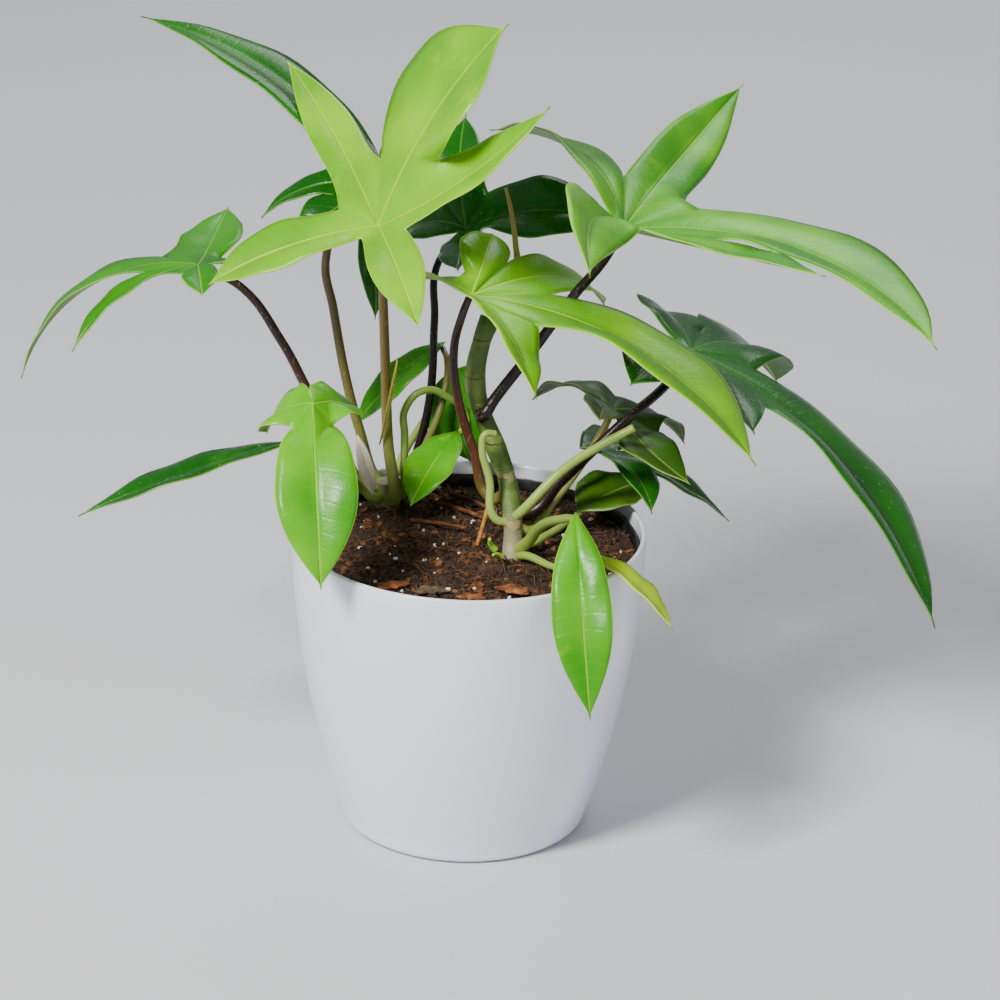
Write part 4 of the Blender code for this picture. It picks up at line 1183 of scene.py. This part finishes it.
class PLANT_OT_leaves(bpy.types.Operator):
    """Builds every blade, with veins, a waved margin and a paler lower side"""

    bl_idname = "plant.leaves"
    bl_label = "Leaves"

    def execute(self, context):
        finishes = {}
        for look, (colours, options, under) in LEAF_LOOKS.items():
            finishes[look] = (
                leaf_material(f"philodendron_blade_{look}", *colours, **options),
                underside_material(f"philodendron_underside_{look}", *under))
        slots = {"cream": "sheath_cream", "straw": "sheath_yellow"}
        for spec in LEAVES + SHEATHS:
            obj = link(spec.name + "_blade", blade_mesh(spec), *finishes[spec.colour])
            solid = obj.modifiers.new("thickness", "SOLIDIFY")
            solid.thickness = context.scene.plant_sizes.blade
            solid.offset = 0
            solid.material_offset = 1
            place_piece(obj, slots.get(spec.colour, "leaf_" + spec.colour), spec.name)
        return {"FINISHED"}


class PLANT_OT_petioles(bpy.types.Operator):
    """Builds each leaf's petiole, sheathed at its foot and thinner below the blade"""

    bl_idname = "plant.petioles"
    bl_label = "Petioles"

    def execute(self, context):
        finishes = {
            "dark": petiole_material("petiole_skin_maroon", "#7C8A3C", "#5A3020", "#2A1512", 0.112, 0.185),
            "green": petiole_material("petiole_skin_green", "#8FA64A", "#7E9A3E", "#6A8A34", 0.108, 0.23),
            "brown": petiole_material("petiole_skin_brown", "#8A9A44", "#6A5A2C", "#4A3420", 0.112, 0.24),
            "black": petiole_material("petiole_skin_black", "#4A3A22", "#2C1712", "#1C0F10", 0.112, 0.15)}
        blades = {spec.name: spec for spec in LEAVES}
        for name, carried, start, end, route in PETIOLES:
            foot = stem_point_near(route[0])
            path = [tuple(foot.lerp(Vector(route[0]), 0.35))] + route + [petiole_end(blades[carried])]
            radii = [start * 1.15]
            for index in range(len(path) - 1):
                share = index / (len(path) - 2)
                radii.append(start + (end - start) * share)
            radii[1] = start * 1.12
            finish = finishes[STALK_LOOKS.get(name, "green")]
            obj = tube(name + "_skin", path, radii, finish, around=5, steps=14)
            place_piece(obj, "petiole_dark" if name in DARK_STALKS else "petiole_green", name)
        return {"FINISHED"}


class PLANT_OT_shoots(bpy.types.Operator):
    """Builds the cut and hooked petioles, the rolled new leaf, the side shoots and the roots"""

    bl_idname = "plant.shoots"
    bl_label = "Shoots and Roots"

    def execute(self, context):
        finishes = {
            "stalk": petiole_material("petiole_skin_pale", "#A3B85A", "#9DB552", "#93AC4A", 0.11, 0.16),
            "spear": petiole_material("rolled_leaf_skin", "#8E9A4A", "#8C9440", "#A08A3A", 0.18, 0.23),
            "shoot": petiole_material("shoot_skin_lime", "#7CB42A", "#8AC232", "#9AD03A", 0.108, 0.12),
            "aerial": earth_material("aerial_root_bark", "#8A5A1E", "#C08A34", "#D8A850", scale=300, depth=0.3),
            "root": earth_material("root_bark_brown", "#4A2614", "#7A4626", "#9A6036", scale=300, depth=0.4)}
        slots = {
            "stalk": "petiole_green", "spear": "young_shoot", "shoot": "young_shoot",
            "aerial": "root", "root": "root"}
        for name, look, start, end, route in LOOSE_TUBES:
            radii = [start + (end - start) * index / (len(route) - 1) for index in range(len(route))]
            if look == "stalk":
                route = [tuple(stem_point_near(route[0]))] + route
                radii = [start] + radii
            obj = tube(name + "_skin", route, radii, finishes[look], around=5, steps=14)
            place_piece(obj, slots[look], name)
        for index in range(4):
            node = bpy.data.objects[f"root_{index + 1}"]
            for slot in node.material_slots:
                slot.material = finishes["root"]
        return {"FINISHED"}


class PLANT_OT_stage(bpy.types.Operator):
    """Sets the pale floor, the soft studio lights and the camera"""

    bl_idname = "plant.stage"
    bl_label = "Stage"

    def execute(self, context):
        scene = context.scene
        bpy.ops.mesh.primitive_plane_add(size=FLOOR_SIZE, location=FLOOR_CENTRE)
        floor = context.object
        floor.name = "stage_floor"
        floor.data.materials.append(plain_stage_material("matt_pale_board", "#D2D3D8"))
        world = bpy.data.worlds.new("studio_air")
        world.use_nodes = True
        world.node_tree.nodes["Background"].inputs[0].default_value = linear("#E8ECF2")
        world.node_tree.nodes["Background"].inputs[1].default_value = 0.36
        scene.world = world
        lamps = (
            ("key", (-0.7, -0.85, 1.2), 38, 0.36, "#FFFDF8"),
            ("fill", (1.2, -0.9, 0.7), 4, 0.8, "#F2F6FF"),
            ("back", (0.3, 1.1, 1.3), 10, 0.9, "#FFFFFF"))
        target = Vector(LAMP_TARGET)
        for name, place, power, size, colour in lamps:
            data = bpy.data.lights.new(name, "AREA")
            data.energy = power
            data.size = size
            data.color = linear(colour)[:3]
            lamp = bpy.data.objects.new(name, data)
            scene.collection.objects.link(lamp)
            lamp.location = place
            lamp.rotation_euler = (target - Vector(place)).to_track_quat("-Z", "Y").to_euler()
        look = scene.plant_look
        aim = Vector(CAMERA_TARGET)
        away = Vector((0, -math.cos(look.elevation), math.sin(look.elevation)))
        data = bpy.data.cameras.new("view")
        data.lens = CAMERA_LENS
        data.sensor_width = SENSOR_WIDTH
        camera = bpy.data.objects.new("view", data)
        scene.collection.objects.link(camera)
        turn = (-away).to_track_quat("-Z", "Y").to_matrix() @ Matrix.Rotation(look.roll, 3, "Z")
        camera.matrix_world = Matrix.Translation(aim + away * look.distance) @ turn.to_4x4()
        scene.camera = camera
        return {"FINISHED"}


class PLANT_PT_panel(bpy.types.Panel):
    """Lists the plant's sizes and its pieces"""

    bl_idname = "PLANT_PT_panel"
    bl_label = "Potted Philodendron"
    bl_space_type = "VIEW_3D"
    bl_region_type = "UI"
    bl_category = "Philodendron"

    def draw(self, context):
        layout = self.layout
        for kind, group in (
                (PlantSizes, context.scene.plant_sizes), (PlantLook, context.scene.plant_look)):
            for key in kind.__annotations__:
                layout.prop(group, key)
        for operator in OPERATORS:
            layout.operator(operator.bl_idname)


OPERATORS = (
    PLANT_OT_planter, PLANT_OT_nursery_pot, PLANT_OT_soil, PLANT_OT_bark, PLANT_OT_stems,
    PLANT_OT_leaves, PLANT_OT_petioles, PLANT_OT_shoots, PLANT_OT_stage)
CLASSES = (PlantSizes, PlantLook, *OPERATORS, PLANT_PT_panel)


def register():
    """Registers the classes and hangs the settings on the scene."""
    for item in CLASSES:
        bpy.utils.register_class(item)
    bpy.types.Scene.plant_sizes = bpy.props.PointerProperty(type=PlantSizes)
    bpy.types.Scene.plant_look = bpy.props.PointerProperty(type=PlantLook)


def unregister():
    """Takes the settings off the scene and unregisters the classes."""
    del bpy.types.Scene.plant_look
    del bpy.types.Scene.plant_sizes
    for item in reversed(CLASSES):
        bpy.utils.unregister_class(item)


def main():
    """Builds every piece and the stage."""
    register()
    bpy.ops.plant.planter()
    bpy.ops.plant.nursery_pot()
    bpy.ops.plant.soil()
    bpy.ops.plant.bark()
    bpy.ops.plant.stems()
    bpy.ops.plant.leaves()
    bpy.ops.plant.petioles()
    bpy.ops.plant.shoots()
    bpy.ops.plant.stage()
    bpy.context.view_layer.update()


if __name__ == "__main__":
    main()
